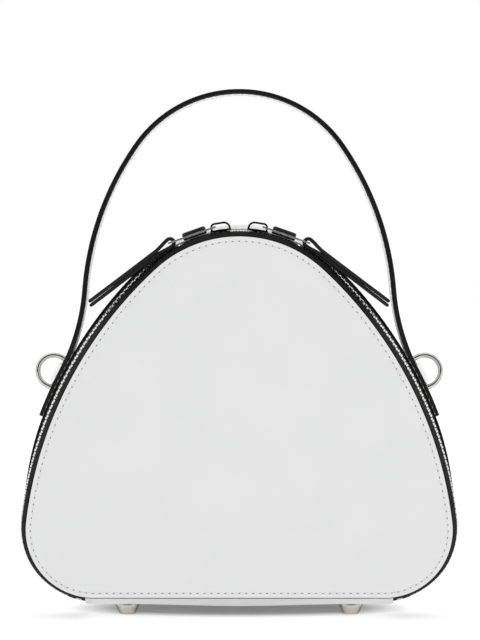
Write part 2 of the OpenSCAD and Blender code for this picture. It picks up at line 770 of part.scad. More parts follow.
module pull_plate(side) {
    color(metal) in_pull(side) translate([0, 0, -pull_t / 2]) linear_extrude(pull_t) difference() {
        union() {
            translate([-eye_bar, -eye_w / 2]) square([eye_hole_l + 3 * eye_bar, eye_w]);
            translate([eye_hole_l, -plate_w / 2]) square([bar_x - eye_hole_l - frame_l / 2, plate_w]);
            translate([bar_x + end_bar / 2 - frame_l, -tab_frame_w / 2]) square([frame_l, tab_frame_w]);
        }
        translate([eye_bar, -eye_hole_w / 2]) square([eye_hole_l, eye_hole_w]);
        translate([bar_x - end_bar / 2 - tab_hole_l, -tab_hole_w / 2]) square([tab_hole_l, tab_hole_w]);
    }
}
// One pad with round ends, from z0 to z1 off the plate
module pad(z0, z1) {
    translate([0, 0, z0]) linear_extrude(z1 - z0) {
        for (x = [pad_start + pad_w / 2, pad_start + pad_l - pad_w / 2]) translate([x, 0]) circle(pad_w / 2);
        translate([pad_start + pad_w / 2, -pad_w / 2]) square([pad_l - pad_w, pad_w]);
    }
}
module pull_pads(side) {
    color(leather_black) in_pull(side) {
        pad(pull_t / 2, pull_t / 2 + pull_pad_t);
        pad(-pull_t / 2 - pull_under_t, -pull_t / 2);
    }
}
end_bar_at = pivot_at + bar_x * [cos(pull_tilt), 0, -sin(pull_tilt)];
fold_in_r = 1.3;
fold_out_r = fold_in_r + tab_layer_t - fit;
join_l = 8.4;
tip_chamfer = 0.6;
module in_tab(side) {
    mirror([side < 0 ? 1 : 0, 0, 0]) translate(end_bar_at) rotate([0, tab_tilt, 0]) children();
}
function half_turn(r) = [for (a = [90:15:270]) r * [cos(a), sin(a)]];
module pull_tab(side) {
    color(leather_black) in_tab(side) rotate([90, 0, 0]) linear_extrude(tab_w, center = true) difference() {
        polygon(concat(half_turn(fold_out_r), [
            [join_l, -tab_layer_t], [tab_l - tip_chamfer, -tab_layer_t], [tab_l, tip_chamfer - tab_layer_t],
            [tab_l, tab_layer_t - tip_chamfer], [tab_l - tip_chamfer, tab_layer_t], [join_l, tab_layer_t]
        ]));
        polygon(concat(half_turn(fold_in_r), [[join_l, 0]]));
    }
}
module pull_plate_left() {
    pull_plate(-1);
}
module pull_plate_right() {
    pull_plate(1);
}
module pull_pads_left() {
    pull_pads(-1);
}
module pull_pads_right() {
    pull_pads(1);
}
module pull_tab_left() {
    pull_tab(-1);
}
module pull_tab_right() {
    pull_tab(1);
}

front_panel();
front_stiffener();
front_lining();
front_zip_tape();
front_zip_teeth();
front_zip_stops();
front_base_strip();
back_panel();
back_stiffener();
back_lining();
rear_gusset();
gusset_lining();
base_panel();
base_board();
base_lining();
rear_zip_tape();
rear_zip_teeth();
rear_zip_stops();
feet();
foot_nuts();
handle_outer();
handle_core();
handle_inner();
ring_tab_left();
ring_tab_right();
ring_left();
ring_right();
slider_left();
slider_right();
pull_plate_left();
pull_plate_right();
pull_pads_left();
pull_pads_right();
pull_tab_left();
pull_tab_right();
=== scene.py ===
import json
import math

import bmesh
import bpy
from mathutils import Matrix, Vector


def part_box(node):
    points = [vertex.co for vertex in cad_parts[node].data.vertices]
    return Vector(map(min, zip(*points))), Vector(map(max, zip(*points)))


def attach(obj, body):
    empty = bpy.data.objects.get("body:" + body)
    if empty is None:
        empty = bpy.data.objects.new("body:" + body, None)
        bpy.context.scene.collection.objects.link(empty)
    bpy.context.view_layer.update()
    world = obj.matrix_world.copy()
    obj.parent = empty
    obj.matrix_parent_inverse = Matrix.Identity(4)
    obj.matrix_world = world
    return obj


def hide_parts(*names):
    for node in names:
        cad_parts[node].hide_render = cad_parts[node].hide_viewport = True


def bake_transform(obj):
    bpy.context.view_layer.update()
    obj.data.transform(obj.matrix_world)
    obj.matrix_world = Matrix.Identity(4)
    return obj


# All lengths below are in millimetres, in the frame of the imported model: +X along the width,
# the front faces -Y, +Z is up. Meshes are scaled to metres where they are made.
MM = 0.001

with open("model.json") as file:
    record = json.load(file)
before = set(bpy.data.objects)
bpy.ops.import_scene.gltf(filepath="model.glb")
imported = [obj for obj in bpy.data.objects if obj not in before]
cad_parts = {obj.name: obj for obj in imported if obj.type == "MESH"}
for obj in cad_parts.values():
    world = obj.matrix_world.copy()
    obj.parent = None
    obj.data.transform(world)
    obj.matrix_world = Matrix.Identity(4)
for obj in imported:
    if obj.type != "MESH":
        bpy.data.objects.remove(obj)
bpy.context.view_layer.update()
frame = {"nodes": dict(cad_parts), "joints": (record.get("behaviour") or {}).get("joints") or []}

# --- Outline of the bag, the same tangent arcs as in the CAD model ---
PANEL_W, PANEL_H, PANEL_Z = 235.0, 199.0, 12.0
TOP_R, SIDE_R, CORNER_R = 67.5, 227.0, 37.4
FACE_Y = 45.0
ZIP_Y, GUSSET_Y = -32.0, -22.0
PANEL_T, STIFFENER_T, LINING_T, HEM_W = 1.8, 1.2, 0.6, 6.0
BACK_IN = FACE_Y - PANEL_T

TOP_C = (0.0, PANEL_Z + PANEL_H - TOP_R)
CORNER_C = (PANEL_W / 2 - CORNER_R, PANEL_Z + CORNER_R)


def side_centre():
    link = (CORNER_C[0] - TOP_C[0], CORNER_C[1] - TOP_C[1])
    link_l = math.hypot(*link)
    a, b = SIDE_R - TOP_R, SIDE_R - CORNER_R
    share = (a * a - b * b + link_l * link_l) / (2 * link_l * link_l)
    back = math.sqrt(a * a - share * share * link_l * link_l) / link_l
    return (
        TOP_C[0] + share * link[0] + back * link[1],
        TOP_C[1] + share * link[1] - back * link[0],
    )


SIDE_C = side_centre()
TOP_TURN = math.atan2(TOP_C[0] - SIDE_C[0], TOP_C[1] - SIDE_C[1])
SIDE_TURN = math.atan2(CORNER_C[0] - SIDE_C[0], CORNER_C[1] - SIDE_C[1])
TOP_L = TOP_R * TOP_TURN
SIDE_L = TOP_L + SIDE_R * (SIDE_TURN - TOP_TURN)
CORNER_L = SIDE_L + CORNER_R * (math.pi - SIDE_TURN)
HALF_L = CORNER_L + CORNER_C[0]
BASE_HALF_W = 85.0
ZIP_END = CORNER_L - CORNER_R * math.asin((BASE_HALF_W - CORNER_C[0]) / CORNER_R)


def lean(s):
    """Angle of the outward direction from +Z, at a length s from the top middle."""
    a = abs(s)
    if a < TOP_L:
        turn = a / TOP_R
    elif a < SIDE_L:
        turn = TOP_TURN + (a - TOP_L) / SIDE_R
    elif a < CORNER_L:
        turn = SIDE_TURN + (a - SIDE_L) / CORNER_R
    else:
        turn = math.pi
    return math.copysign(turn, s)


def at(s, off, y):
    """Point at length s from the top middle, swelling off beyond the outline, at depth y."""
    a, turn = abs(s), abs(lean(s))
    if a < TOP_L:
        centre, r = TOP_C, TOP_R
    elif a < SIDE_L:
        centre, r = SIDE_C, SIDE_R
    elif a < CORNER_L:
        centre, r = CORNER_C, CORNER_R
    else:
        centre, r = (HALF_L - a, PANEL_Z), 0.0
    x = centre[0] + (r + off) * math.sin(turn)
    z = centre[1] + (r + off) * math.cos(turn)
    return (math.copysign(1, s) * x if s else x, y, z)


def mix(a, b, t):
    return a + (b - a) * t


def ease(t):
    c = min(1.0, max(0.0, t))
    return c * c * (3 - 2 * c)


def spread(a, b, step):
    """Evenly spaced values from a to b, both ends included, about step apart."""
    n = max(1, round(abs(b - a) / step))
    return [a + (b - a) * i / n for i in range(n + 1)]


# Shapes along the zip, as in the CAD model
ZIP_RISE, SIDE_LIFT, ZIP_SLOPE = 2.5, 0.6, math.radians(11.3)
TAPE_EDGE, TAPE_BEND, TAPE_T = 1.4, 6.4, 0.6
TOP_CROWN, SIDE_CROWN, BASE_DROP = 6.4, 6.6, 5.9
PART_GAP, PART_NEAR, PART_FAR = 1.9, 6.5, 12.5


def side_share(s):
    return ease((abs(s) - 24) / 34)


def by_place(s, top, side, low):
    """Mixes values for the top, the sides and the lower corners."""
    return mix(mix(top, side, side_share(s)), low, ease((abs(s) - 156) / 40))


def rise(s):
    return ZIP_RISE + SIDE_LIFT * side_share(s) * (1 - ease((abs(s) - ZIP_END + 38) / 32))


def parting(s):
    return PART_GAP * ease((PART_FAR - abs(s)) / (PART_FAR - PART_NEAR))


def chain_off(s, u):
    return rise(s) + math.tan(ZIP_SLOPE * by_place(s, 0, 1, 0.45)) * u


def mesh_object(name, points, faces, material, body, sharp=35, stands_for=(), uvs=None):
    """A smooth-shaded mesh piece in millimetres that rides on a CAD body. uvs has a pair for each point."""
    mesh = bpy.data.meshes.new(name)
    mesh.from_pydata([tuple(c * MM for c in p) for p in points], [], faces)
    if uvs:
        layer = mesh.uv_layers.new(name="weave")
        for loop in mesh.loops:
            u, v = uvs[loop.vertex_index]
            layer.data[loop.index].uv = (u * MM, v * MM)
    bm = bmesh.new()
    bm.from_mesh(mesh)
    if not uvs:
        bmesh.ops.remove_doubles(bm, verts=bm.verts, dist=1e-6)
    bmesh.ops.recalc_face_normals(bm, faces=bm.faces)
    bm.to_mesh(mesh)
    bm.free()
    mesh.shade_smooth()
    mesh.set_sharp_from_angle(angle=math.radians(sharp))
    obj = bpy.data.objects.new(name, mesh)
    bpy.context.scene.collection.objects.link(obj)
    mesh.materials.append(material)
    if stands_for:
        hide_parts(*stands_for)
    if body:
        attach(obj, body)
    return obj


def sweep_faces(n, m, closed_path, closed_section=True):
    """Quads between m sections of n points each, and caps where the path is open."""
    faces = []
    for i in range(m if closed_path else m - 1):
        a, b = i * n, (i + 1) % m * n
        for j in range(n if closed_section else n - 1):
            k = (j + 1) % n
            faces.append((a + j, a + k, b + k, b + j))
    if closed_section and not closed_path:
        faces.append(tuple(range(n - 1, -1, -1)))
        faces.append(tuple((m - 1) * n + j for j in range(n)))
    return faces


def swept(name, stations, section, material, body, closed_path=False, sharp=40, stands_for=(), paint=()):
    """Sweeps section(s), a closed list of (off, y), through the stations along the outline.

    paint lists (material, places in the section, shortest length from the top middle) for the faces
    that start at those places and look different from the rest.
    """
    points, uvs, m = [], [], len(stations)
    for s in stations:
        ring, run = section(s), 0.0
        for j, (off, y) in enumerate(ring):
            if j:
                run += math.dist(ring[j - 1], (off, y))
            points.append(at(s, off, y))
            uvs.append((s, run))
    n = len(points) // m
    obj = mesh_object(name, points, sweep_faces(n, m, closed_path), material, body, sharp, stands_for, uvs)
    for k, (other, places, shortest) in enumerate(paint):
        obj.data.materials.append(other)
        for i in range(m - 1):
            for j in places:
                if abs(stations[i]) >= shortest:
                    obj.data.polygons[i * n + j % n].material_index = k + 1
    return obj


def smooth_line(points, per):
    """Catmull-Rom curve through 2D points, with per steps between neighbours."""
    ends = [points[0], *points, points[-1]]
    out = []
    for i in range(1, len(ends) - 2):
        p0, p1, p2, p3 = ends[i - 1 : i + 3]
        for k in range(per):
            t = k / per
            out.append(
                tuple(
                    0.5 * (2 * b + (c - a) * t + (2 * a - 5 * b + 4 * c - d) * t * t
                           + (3 * b - a - 3 * c + d) * t ** 3)
                    for a, b, c, d in zip(p0, p1, p2, p3)
                )
            )
    return [*out, points[-1]]


def ribbon(line, t, end_steps=4):
    """Closed section of thickness t whose outer side is the 2D line, with rounded ends."""
    normals = []
    for i in range(len(line)):
        a, b = line[max(i - 1, 0)], line[min(i + 1, len(line) - 1)]
        d = (b[0] - a[0], b[1] - a[1])
        size = math.hypot(*d) or 1.0
        normals.append((d[1] / size, -d[0] / size))
    inner = [(p[0] - t * n[0], p[1] - t * n[1]) for p, n in zip(line, normals)]

    def cap(p, q, along):
        mid = ((p[0] + q[0]) / 2, (p[1] + q[1]) / 2)
        half = ((p[0] - q[0]) / 2, (p[1] - q[1]) / 2)
        pts = []
        for k in range(1, end_steps):
            a = math.pi * k / end_steps
            pts.append(
                (
                    mid[0] + half[0] * math.cos(a) + along[0] * t / 2 * math.sin(a),
                    mid[1] + half[1] * math.cos(a) + along[1] * t / 2 * math.sin(a),
                )
            )
        return pts

    n0, n1 = normals[0], normals[-1]
    last = cap(line[-1], inner[-1], (-n1[1], n1[0]))
    first = cap(inner[0], line[0], (n0[1], -n0[0]))
    return [*line, *last, *reversed(inner), *first]


def rounded(points, r, steps=3):
    """Closed 2D polygon with its corners rounded to radius r, or a radius for each corner."""
    n = len(points)
    radii = r if isinstance(r, (list, tuple)) else [r] * n
    out = []
    for i, p in enumerate(points):
        a, b = Vector(points[i - 1]) - Vector(p), Vector(points[(i + 1) % n]) - Vector(p)
        turn = a.angle(b, 0.0)
        if radii[i] <= 0 or turn < 1e-3 or math.pi - turn < 1e-3:
            out.append(tuple(p))
            continue
        cut = min(radii[i] / math.tan(turn / 2), a.length * 0.45, b.length * 0.45)
        r_here = cut * math.tan(turn / 2)
        bisector = (a.normalized() + b.normalized()).normalized()
        centre = Vector(p) + bisector * (r_here / math.sin(turn / 2))
        start = Vector(p) + a.normalized() * cut - centre
        end = Vector(p) + b.normalized() * cut - centre
        sweep = start.angle_signed(end)
        for k in range(steps + 1):
            # angle_signed is clockwise, so the turn is taken with the opposite sign
            w = -sweep * k / steps
            x = start.x * math.cos(w) - start.y * math.sin(w)
            y = start.x * math.sin(w) + start.y * math.cos(w)
            out.append((centre.x + x, centre.y + y))
    return out


def lathe(profile, sides):
    """Points and faces of a closed (radius, height) profile turned round Z."""
    points, n = [], len(profile)
    for k in range(sides):
        a = 2 * math.pi * k / sides
        points += [(r * math.cos(a), r * math.sin(a), z) for r, z in profile]
    return points, sweep_faces(n, sides, True, closed_section=False)


def moved(points, matrix):
    return [tuple(matrix @ Vector(p)) for p in points]


def bevelled(obj, width, segments=2, angle=40):
    """Rounds the sharp edges of a piece, and keeps its flat faces flat to the light."""
    mod = obj.modifiers.new("bevel", "BEVEL")
    mod.width = width * MM
    mod.segments = segments
    mod.limit_method = "ANGLE"
    mod.angle_limit = math.radians(angle)
    mod.harden_normals = True
    return obj


# --- Materials, all procedural. Lengths in them are in metres, like the scene's. ---
class Shader:
    """A material with a Principled shader and a few short ways to feed it."""

    def __init__(self, name, color, roughness, metallic=0.0, **sockets):
        self.mat = bpy.data.materials.new(name)
        self.mat.use_nodes = True
        self.nodes = self.mat.node_tree.nodes
        self.links = self.mat.node_tree.links
        self.bsdf = self.nodes["Principled BSDF"]
        self.set("Base Color", (*color, 1.0))
        self.set("Roughness", roughness)
        self.set("Metallic", metallic)
        for key, value in sockets.items():
            self.set(key.replace("_", " "), value)
        self.mat.diffuse_color = (*color, 1.0)
        self.coords = self.nodes.new("ShaderNodeTexCoord")
        self.height = None

    def set(self, socket, value):
        self.bsdf.inputs[socket].default_value = value

    def node(self, kind, **settings):
        node = self.nodes.new(kind)
        for key, value in settings.items():
            setattr(node, key, value)
        return node

    def place(self, scale=(1, 1, 1), turn=0.0, uv=False):
        """Texture coordinates, scaled and turned about Z."""
        mapping = self.node("ShaderNodeMapping")
        mapping.inputs["Scale"].default_value = scale
        mapping.inputs["Rotation"].default_value = (0, 0, math.radians(turn))
        self.links.new(self.coords.outputs["UV" if uv else "Object"], mapping.inputs["Vector"])
        return mapping.outputs["Vector"]

    def noise(self, scale, detail=3.0, where=None, rough=0.55):
        tex = self.node("ShaderNodeTexNoise")
        tex.inputs["Scale"].default_value = scale
        tex.inputs["Detail"].default_value = detail
        tex.inputs["Roughness"].default_value = rough
        self.links.new(where or self.coords.outputs["Object"], tex.inputs["Vector"])
        return tex.outputs["Fac"]

    def cells(self, scale, where=None):
        tex = self.node("ShaderNodeTexVoronoi", feature="SMOOTH_F1")
        tex.inputs["Scale"].default_value = scale
        self.links.new(where or self.coords.outputs["Object"], tex.inputs["Vector"])
        return tex.outputs["Distance"]

    def bands(self, scale, where, turn="X"):
        tex = self.node("ShaderNodeTexWave", bands_direction=turn)
        tex.inputs["Scale"].default_value = scale
        self.links.new(where, tex.inputs["Vector"])
        return tex.outputs["Fac"]

    def math(self, op, a, b):
        node = self.node("ShaderNodeMath", operation=op)
        for socket, value in zip(node.inputs, (a, b)):
            if isinstance(value, (int, float)):
                socket.default_value = value
            else:
                self.links.new(value, socket)
        return node.outputs[0]

    def vary(self, socket, source, low, high, lo_in=0.3, hi_in=0.7):
        """Feeds a socket with source mapped to run from low to high."""
        if isinstance(low, tuple):
            ramp = self.node("ShaderNodeValToRGB")
            ramp.color_ramp.elements[0].position = lo_in
            ramp.color_ramp.elements[1].position = hi_in
            ramp.color_ramp.elements[0].color = (*low, 1)
            ramp.color_ramp.elements[1].color = (*high, 1)
            self.links.new(source, ramp.inputs["Fac"])
            out = ramp.outputs["Color"]
        else:
            ranged = self.node("ShaderNodeMapRange")
            for key, value in (("From Min", lo_in), ("From Max", hi_in), ("To Min", low), ("To Max", high)):
                ranged.inputs[key].default_value = value
            self.links.new(source, ranged.inputs["Value"])
            out = ranged.outputs["Result"]
        self.links.new(out, self.bsdf.inputs[socket])

    def bump(self, source, depth, strength=1.0):
        """Adds a bump of the given depth in metres over the ones before it."""
        node = self.node("ShaderNodeBump")
        node.inputs["Strength"].default_value = strength
        node.inputs["Distance"].default_value = depth
        self.links.new(source, node.inputs["Height"])
        if self.height:
            self.links.new(self.height, node.inputs["Normal"])
        self.height = node.outputs["Normal"]
        self.links.new(self.height, self.bsdf.inputs["Normal"])


def leather(name, dark, light, roughness, grain=1.0, shine=0.4):
    """Smooth dyed leather: fine pores, faint creases and a soft uneven sheen."""
    sh = Shader(name, light, roughness, Specular_IOR_Level=shine)
    sh.vary("Base Color", sh.noise(28, 5), dark, light)
    sh.vary("Roughness", sh.noise(160, 4), roughness - 0.06, roughness + 0.08)
    sh.bump(sh.noise(22, 2), 0.00025 * grain)
    sh.bump(sh.cells(1250), 0.00002 * grain)
    sh.bump(sh.noise(3600, 3), 0.000008 * grain)
    return sh.mat


def cloth(name, dark, light, thread, sheen=0.3, uv=True, twill=False):
    """Woven cloth with threads of the given width, plain or as a twill."""
    sh = Shader(name, light, 0.85, Sheen_Weight=sheen, Sheen_Roughness=0.5, Specular_IOR_Level=0.15)
    count = 1 / thread / 2
    warp = sh.bands(count, sh.place(turn=38 if twill else 0, uv=uv), "X")
    weft = sh.bands(count, sh.place(turn=0, uv=uv), "Y")
    weave = sh.math("MULTIPLY", warp, weft)
    uneven = sh.math("ADD", weave, sh.math("MULTIPLY", sh.noise(2500, 2), 0.4))
    sh.vary("Base Color", uneven, dark, light, 0.1, 0.9)
    sh.bump(weave, thread * 0.35)
    sh.bump(sh.noise(4500, 2), thread * 0.1)
    return sh.mat


def metal(name, color, roughness, scratch=1.0, brushed=None, edge=(1, 1, 1)):
    """Plated metal with faint wipe marks, brushed along one axis where asked.

    edge is its tint at grazing angles.
    """
    sh = Shader(name, color, roughness, 1.0, Specular_Tint=(*edge, 1.0))
    sh.vary("Roughness", sh.noise(300, 4), roughness * 0.75, roughness * 1.35)
    sh.vary("Base Color", sh.noise(90, 3), tuple(c * 0.95 for c in color), color)
    if brushed:
        sh.bump(sh.noise(1, 3, sh.place(brushed)), 0.000004 * scratch)
    sh.bump(sh.noise(2200, 2), 0.000002 * scratch)
    return sh.mat


WHITE = leather("white_leather", (0.712, 0.714, 0.716), (0.735, 0.735, 0.735), 0.46)
STRAP_WHITE = leather("strap_leather", (0.78, 0.78, 0.785), (0.82, 0.82, 0.82), 0.42, 0.8)
TAB_WHITE = leather("ring_tab_leather", (0.87, 0.87, 0.87), (0.91, 0.91, 0.91), 0.46, 0.8)
BLACK = leather("black_leather", (0.007, 0.007, 0.007), (0.013, 0.0125, 0.012), 0.42, shine=0.28)
# Black edge paint, also used as painted shade in the seam under the front panel
EDGE_PAINT_AND_SEAM_SHADE = leather("black_edge_paint_and_seam_shade", (0.005, 0.005, 0.005), (0.009, 0.0088, 0.0085), 0.36, 0.6, 0.25)
TAPE = cloth("zip_tape", (0.002, 0.002, 0.002), (0.008, 0.0075, 0.007), 0.00042, 0.02, twill=True)
LINING = cloth("lining_cloth", (0.018, 0.018, 0.019), (0.06, 0.06, 0.064), 0.0003, 0.4)
ZIP_METAL = metal("zip_metal", (0.84, 0.83, 0.82), 0.2)
NICKEL = metal("polished_nickel", (0.58, 0.56, 0.555), 0.035, 0.2, (90, 2400, 90), (0.3, 0.3, 0.3))
PLATE_METAL = metal("pull_metal", (0.8, 0.79, 0.78), 0.3, 0.3)
FOOT_NICKEL = metal("foot_nickel", (0.62, 0.58, 0.53), 0.15, 0.3, (60, 60, 3000), (0.2, 0.2, 0.2))


def thread_material():
    sh = Shader("thread", (0.82, 0.82, 0.81), 0.5, Sheen_Weight=0.2)
    twist = sh.bands(900, sh.place(turn=35), "X")
    sh.vary("Base Color", twist, (0.66, 0.66, 0.65), (0.84, 0.84, 0.83), 0.1, 0.9)
    sh.bump(twist, 0.00006)
    return sh.mat


# Dark discs at the needle holes: painted shade for the hollow of each hole
def hole_shade_material():
    sh = Shader("needle_hole_shade", (0.05, 0.05, 0.052), 0.8)
    sh.vary("Base Color", sh.noise(800, 2), (0.03, 0.03, 0.032), (0.09, 0.09, 0.095))
    return sh.mat


def board_material():
    sh = Shader("fibre_board", (0.3, 0.26, 0.21), 0.9)
    fibres = sh.noise(1, 5, sh.place((260, 90, 900)))
    sh.vary("Base Color", fibres, (0.2, 0.17, 0.13), (0.34, 0.29, 0.23))
    sh.bump(fibres, 0.0001)
    return sh.mat


THREAD, HOLE_SHADE, BOARD = thread_material(), hole_shade_material(), board_material()


# --- Stitches: each a short arched length of thread between two needle holes, drawn as dark discs of painted shade ---
def stitch_row(name, places, pitch, body, width=0.72, rise=0.3, slant=7.0, hole_r=0.62):
    """places are (position, direction, normal) for the middle of each stitch."""
    points, faces, hole_points, hole_faces = [], [], [], []
    around, steps = 7, 7
    length = pitch * 0.74
    for spot, direction, normal in places:
        x = Vector(direction).normalized()
        z = Vector(normal)
        z = (z - x * z.dot(x)).normalized()
        x = Matrix.Rotation(math.radians(slant), 3, z) @ x
        frame_m = Matrix((x, z.cross(x), z)).transposed()
        base = Vector(spot)
        first = len(points)
        for i in range(steps):
            u = (i + 0.5) / steps if 0 < i < steps - 1 else (0.02 if i == 0 else 0.98)
            swell = math.sin(math.pi * u) ** 0.5
            for k in range(around):
                a = 2 * math.pi * k / around
                local = Vector(((u - 0.5) * length, width / 2 * swell * math.cos(a),
                                rise * (swell - 0.55) + rise * 0.55 * math.sin(a)))
                points.append(base + frame_m @ local)
        faces += [tuple(first + v for v in f) for f in sweep_faces(around, steps, False)]
        first = len(hole_points)
        hole = base + frame_m @ Vector((pitch / 2, 0, 0.03))
        hole_points.append(hole)
        for k in range(8):
            a = 2 * math.pi * k / 8
            rim = (hole_r * math.cos(a), 0.76 * hole_r * math.sin(a), -0.01)
            hole_points.append(hole + frame_m @ Vector(rim))
        hole_faces += [(first, first + 1 + k, first + 1 + (k + 1) % 8) for k in range(8)]
    mesh_object(name + "_thread", points, faces, THREAD, body, 60)
    # The needle holes are dark discs of painted shade
    mesh_object(name + "_hole_shades", hole_points, hole_faces, HOLE_SHADE, body, 60)


def outline_stitches(s0, s1, off_y, pitch, normal_of):
    """Places of stitches along the outline between two lengths; off_y(s) gives (off, y)."""
    count = max(1, round((s1 - s0) / pitch))
    step = (s1 - s0) / count
    places = []
    for i in range(count):
        s = s0 + (i + 0.5) * step
        a, b = at(s - step / 3, *off_y(s - step / 3)), at(s + step / 3, *off_y(s + step / 3))
        places.append((at(s, *off_y(s)), Vector(b) - Vector(a), normal_of(s)))
    return places, step


STITCH = 3.85
STITCH_IN = 2.6
LOOP = spread(-HALF_L, HALF_L, 2.1)[:-1]
ARCH = spread(-ZIP_END, ZIP_END, 1.9)


# --- Front and back panels: leather faces with a rolled edge, a sewn groove and a soft crown ---
# Distance in from the edge, and height over the face plane
PANEL_EDGE = [
    (30, -1.8), (8, -1.8), (0.35, -1.8), (0.1, -1.7), (0, -1.45), (-0.02, -1.0), (0, -0.55),
    (0.12, -0.24), (0.35, -0.06), (0.8, 0.02), (1.4, 0.02), (1.95, -0.07), (2.6, -0.24),
    (3.25, -0.07), (4.0, 0.05), (5.5, 0.14), (8, 0.22),
]
PANEL_MID, PANEL_CROWN = (0.0, 98.0), 0.75


def panel(name, facing, body, node):
    n = len(LOOP)
    rings = [[at(s, -d, facing * (FACE_Y + h)) for s in LOOP] for d, h in PANEL_EDGE[1:]]
    rim = rings[-1]
    for k in [0.95, 0.88, 0.8, 0.7, 0.6, 0.5, 0.4, 0.3, 0.2, 0.1]:
        y = facing * (FACE_Y + PANEL_EDGE[-1][1] + PANEL_CROWN * (1 - k) ** 0.8)
        rings.append([(mix(PANEL_MID[0], p[0], k), y, mix(PANEL_MID[1], p[2], k)) for p in rim])
    points = [p for ring in rings for p in ring]
    front = len(points)
    for h in (PANEL_EDGE[-1][1] + PANEL_CROWN, -PANEL_T):
        points.append((PANEL_MID[0], facing * (FACE_Y + h), PANEL_MID[1]))
    faces = sweep_faces(n, len(rings), False)[:-2]
    last = (len(rings) - 1) * n
    faces += [(last + j, last + (j + 1) % n, front) for j in range(n)]
    faces += [((j + 1) % n, j, front + 1) for j in range(n)]
    mesh_object(name, points, faces, WHITE, body, 50, [node])
    places, pitch = outline_stitches(
        -HALF_L, HALF_L, lambda s: (-STITCH_IN, facing * (FACE_Y - 0.2)), STITCH, lambda s: (0, facing, 0)
    )
    stitch_row(name + "_stitches", places, pitch, body)


panel("front_face", -1, "front_flap", "front_panel")
panel("back_face", 1, "bag", "back_panel")


# --- Gusset, its lining and the zip tapes ---
GUSSET_T, SKIVE = 1.2, 1.0
GUSSET_SHARES = [0, 0.14, 0.38, 0.66, 0.83, 0.94, 1]
SWELL_SHARES = [0, 0.6, 1, 0.96, 0.78, 0.44, 0.07]
LAG_SHARES = [0, 0, 0, 0.15, 0.6, 0.95, 1]
SINK_SHARES = [1, 1, 1, 1, 1, 0.75, 0.75]
NOSE = ((0, 0), (0.2, 0.24), (0.5, 0.32), (0.8, 0.24))
GUSSET_DEPTHS = [GUSSET_Y + (BACK_IN - GUSSET_Y) * share for share in GUSSET_SHARES]


def tuck(s):
    """Share of the gusset's draw inwards above the lower corners, where the zip pulls on it."""
    return ease((abs(s) - 176) / 32) * (1 - ease((abs(s) - ZIP_END + 34) / 30))


def inner_edge(s):
    return by_place(s, 3.4, 5.6, 4.4) - 0.5 * tuck(s)


def skive(s):
    return SKIVE - 0.3 * tuck(s)


def crown(s):
    return by_place(s, TOP_CROWN, SIDE_CROWN, BASE_DROP) - 0.9 * tuck(s)


def gusset_off(s, i):
    return mix(inner_edge(s) + skive(s), crown(s), SWELL_SHARES[i]) if i < 2 else crown(s) * SWELL_SHARES[i]


def gusset_line(s, t=0.0, first=0):
    """Control points of the gusset's surface, in by t from its outer side."""
    return [
        (gusset_off(s, i) - t * SINK_SHARES[i], GUSSET_DEPTHS[i] - t * LAG_SHARES[i])
        for i in range(first, len(GUSSET_SHARES))
    ]


def gusset_section(s):
    outer = smooth_line(gusset_line(s), 4)
    inner = smooth_line(gusset_line(s, GUSSET_T, 1), 4)
    nose = [(inner_edge(s) + skive(s) * up, GUSSET_Y - out) for up, out in NOSE]
    hem = [(-HEM_W, BACK_IN), (-HEM_W, BACK_IN - GUSSET_T)]
    return [*nose, *outer, *hem, *reversed(inner)]


# The gusset's front edge is skived thin, and painted black down the sides, where the zip slopes and shows it
EDGE_BLACK_FROM = 38
swept(
    "gusset_leather", ARCH, gusset_section, WHITE, "bag", stands_for=["rear_gusset"],
    paint=[(EDGE_PAINT_AND_SEAM_SHADE, range(-1, len(NOSE) + 1), EDGE_BLACK_FROM)],
)


def lining_section(s):
    inset, deep = GUSSET_T + 0.1, GUSSET_T + 0.1 + LINING_T
    end_y = BACK_IN - STIFFENER_T - LINING_T - 0.1
    outer = smooth_line(gusset_line(s, inset, 1)[:-1], 4)
    inner = smooth_line(gusset_line(s, deep, 1)[:-1], 4)
    return [*outer, (-1.2, end_y), (-1.8, end_y), *reversed(inner)]


swept("gusset_lining_cloth", ARCH, lining_section, LINING, "bag", stands_for=["gusset_lining"])

HALF_TAPE = TAPE_T / 2


def front_tape_section(s):
    edge, hem_y = -TAPE_EDGE - parting(s), -BACK_IN
    return rounded(
        [
            (chain_off(s, edge) + HALF_TAPE, ZIP_Y + edge),
            (chain_off(s, edge) - HALF_TAPE, ZIP_Y + edge),
            (chain_off(s, -TAPE_BEND) - HALF_TAPE, ZIP_Y - TAPE_BEND),
            (-HALF_TAPE, hem_y + TAPE_T),
            (-HEM_W, hem_y + TAPE_T),
            (-HEM_W, hem_y),
            (TAPE_T, hem_y),
            (chain_off(s, -TAPE_BEND) + HALF_TAPE, ZIP_Y - TAPE_BEND),
        ],
        [0.28, 0.28, 3, 1, 0.2, 0.2, 0.5, 3.4],
    )


def rear_tape_section(s):
    edge = TAPE_EDGE + parting(s)
    under = inner_edge(s) - 0.1
    deep = min(under, gusset_off(s, 1) - GUSSET_T - 0.1)
    end_y = GUSSET_DEPTHS[1] - 0.1
    return rounded(
        [
            (chain_off(s, edge) - HALF_TAPE, ZIP_Y + edge),
            (chain_off(s, edge) + HALF_TAPE, ZIP_Y + edge),
            (chain_off(s, TAPE_BEND) + HALF_TAPE, ZIP_Y + TAPE_BEND),
            (under, GUSSET_Y),
            (deep, end_y),
            (deep - TAPE_T, end_y),
            (under - TAPE_T, GUSSET_Y),
            (chain_off(s, TAPE_BEND) - HALF_TAPE, ZIP_Y + TAPE_BEND),
        ],
        [0.28, 0.28, 3, 0, 0.2, 0.2, 0, 3],
    )


swept("front_tape", ARCH, front_tape_section, TAPE, "front_flap", stands_for=["front_zip_tape"])
swept("rear_tape", ARCH, rear_tape_section, TAPE, "bag", stands_for=["rear_zip_tape"])


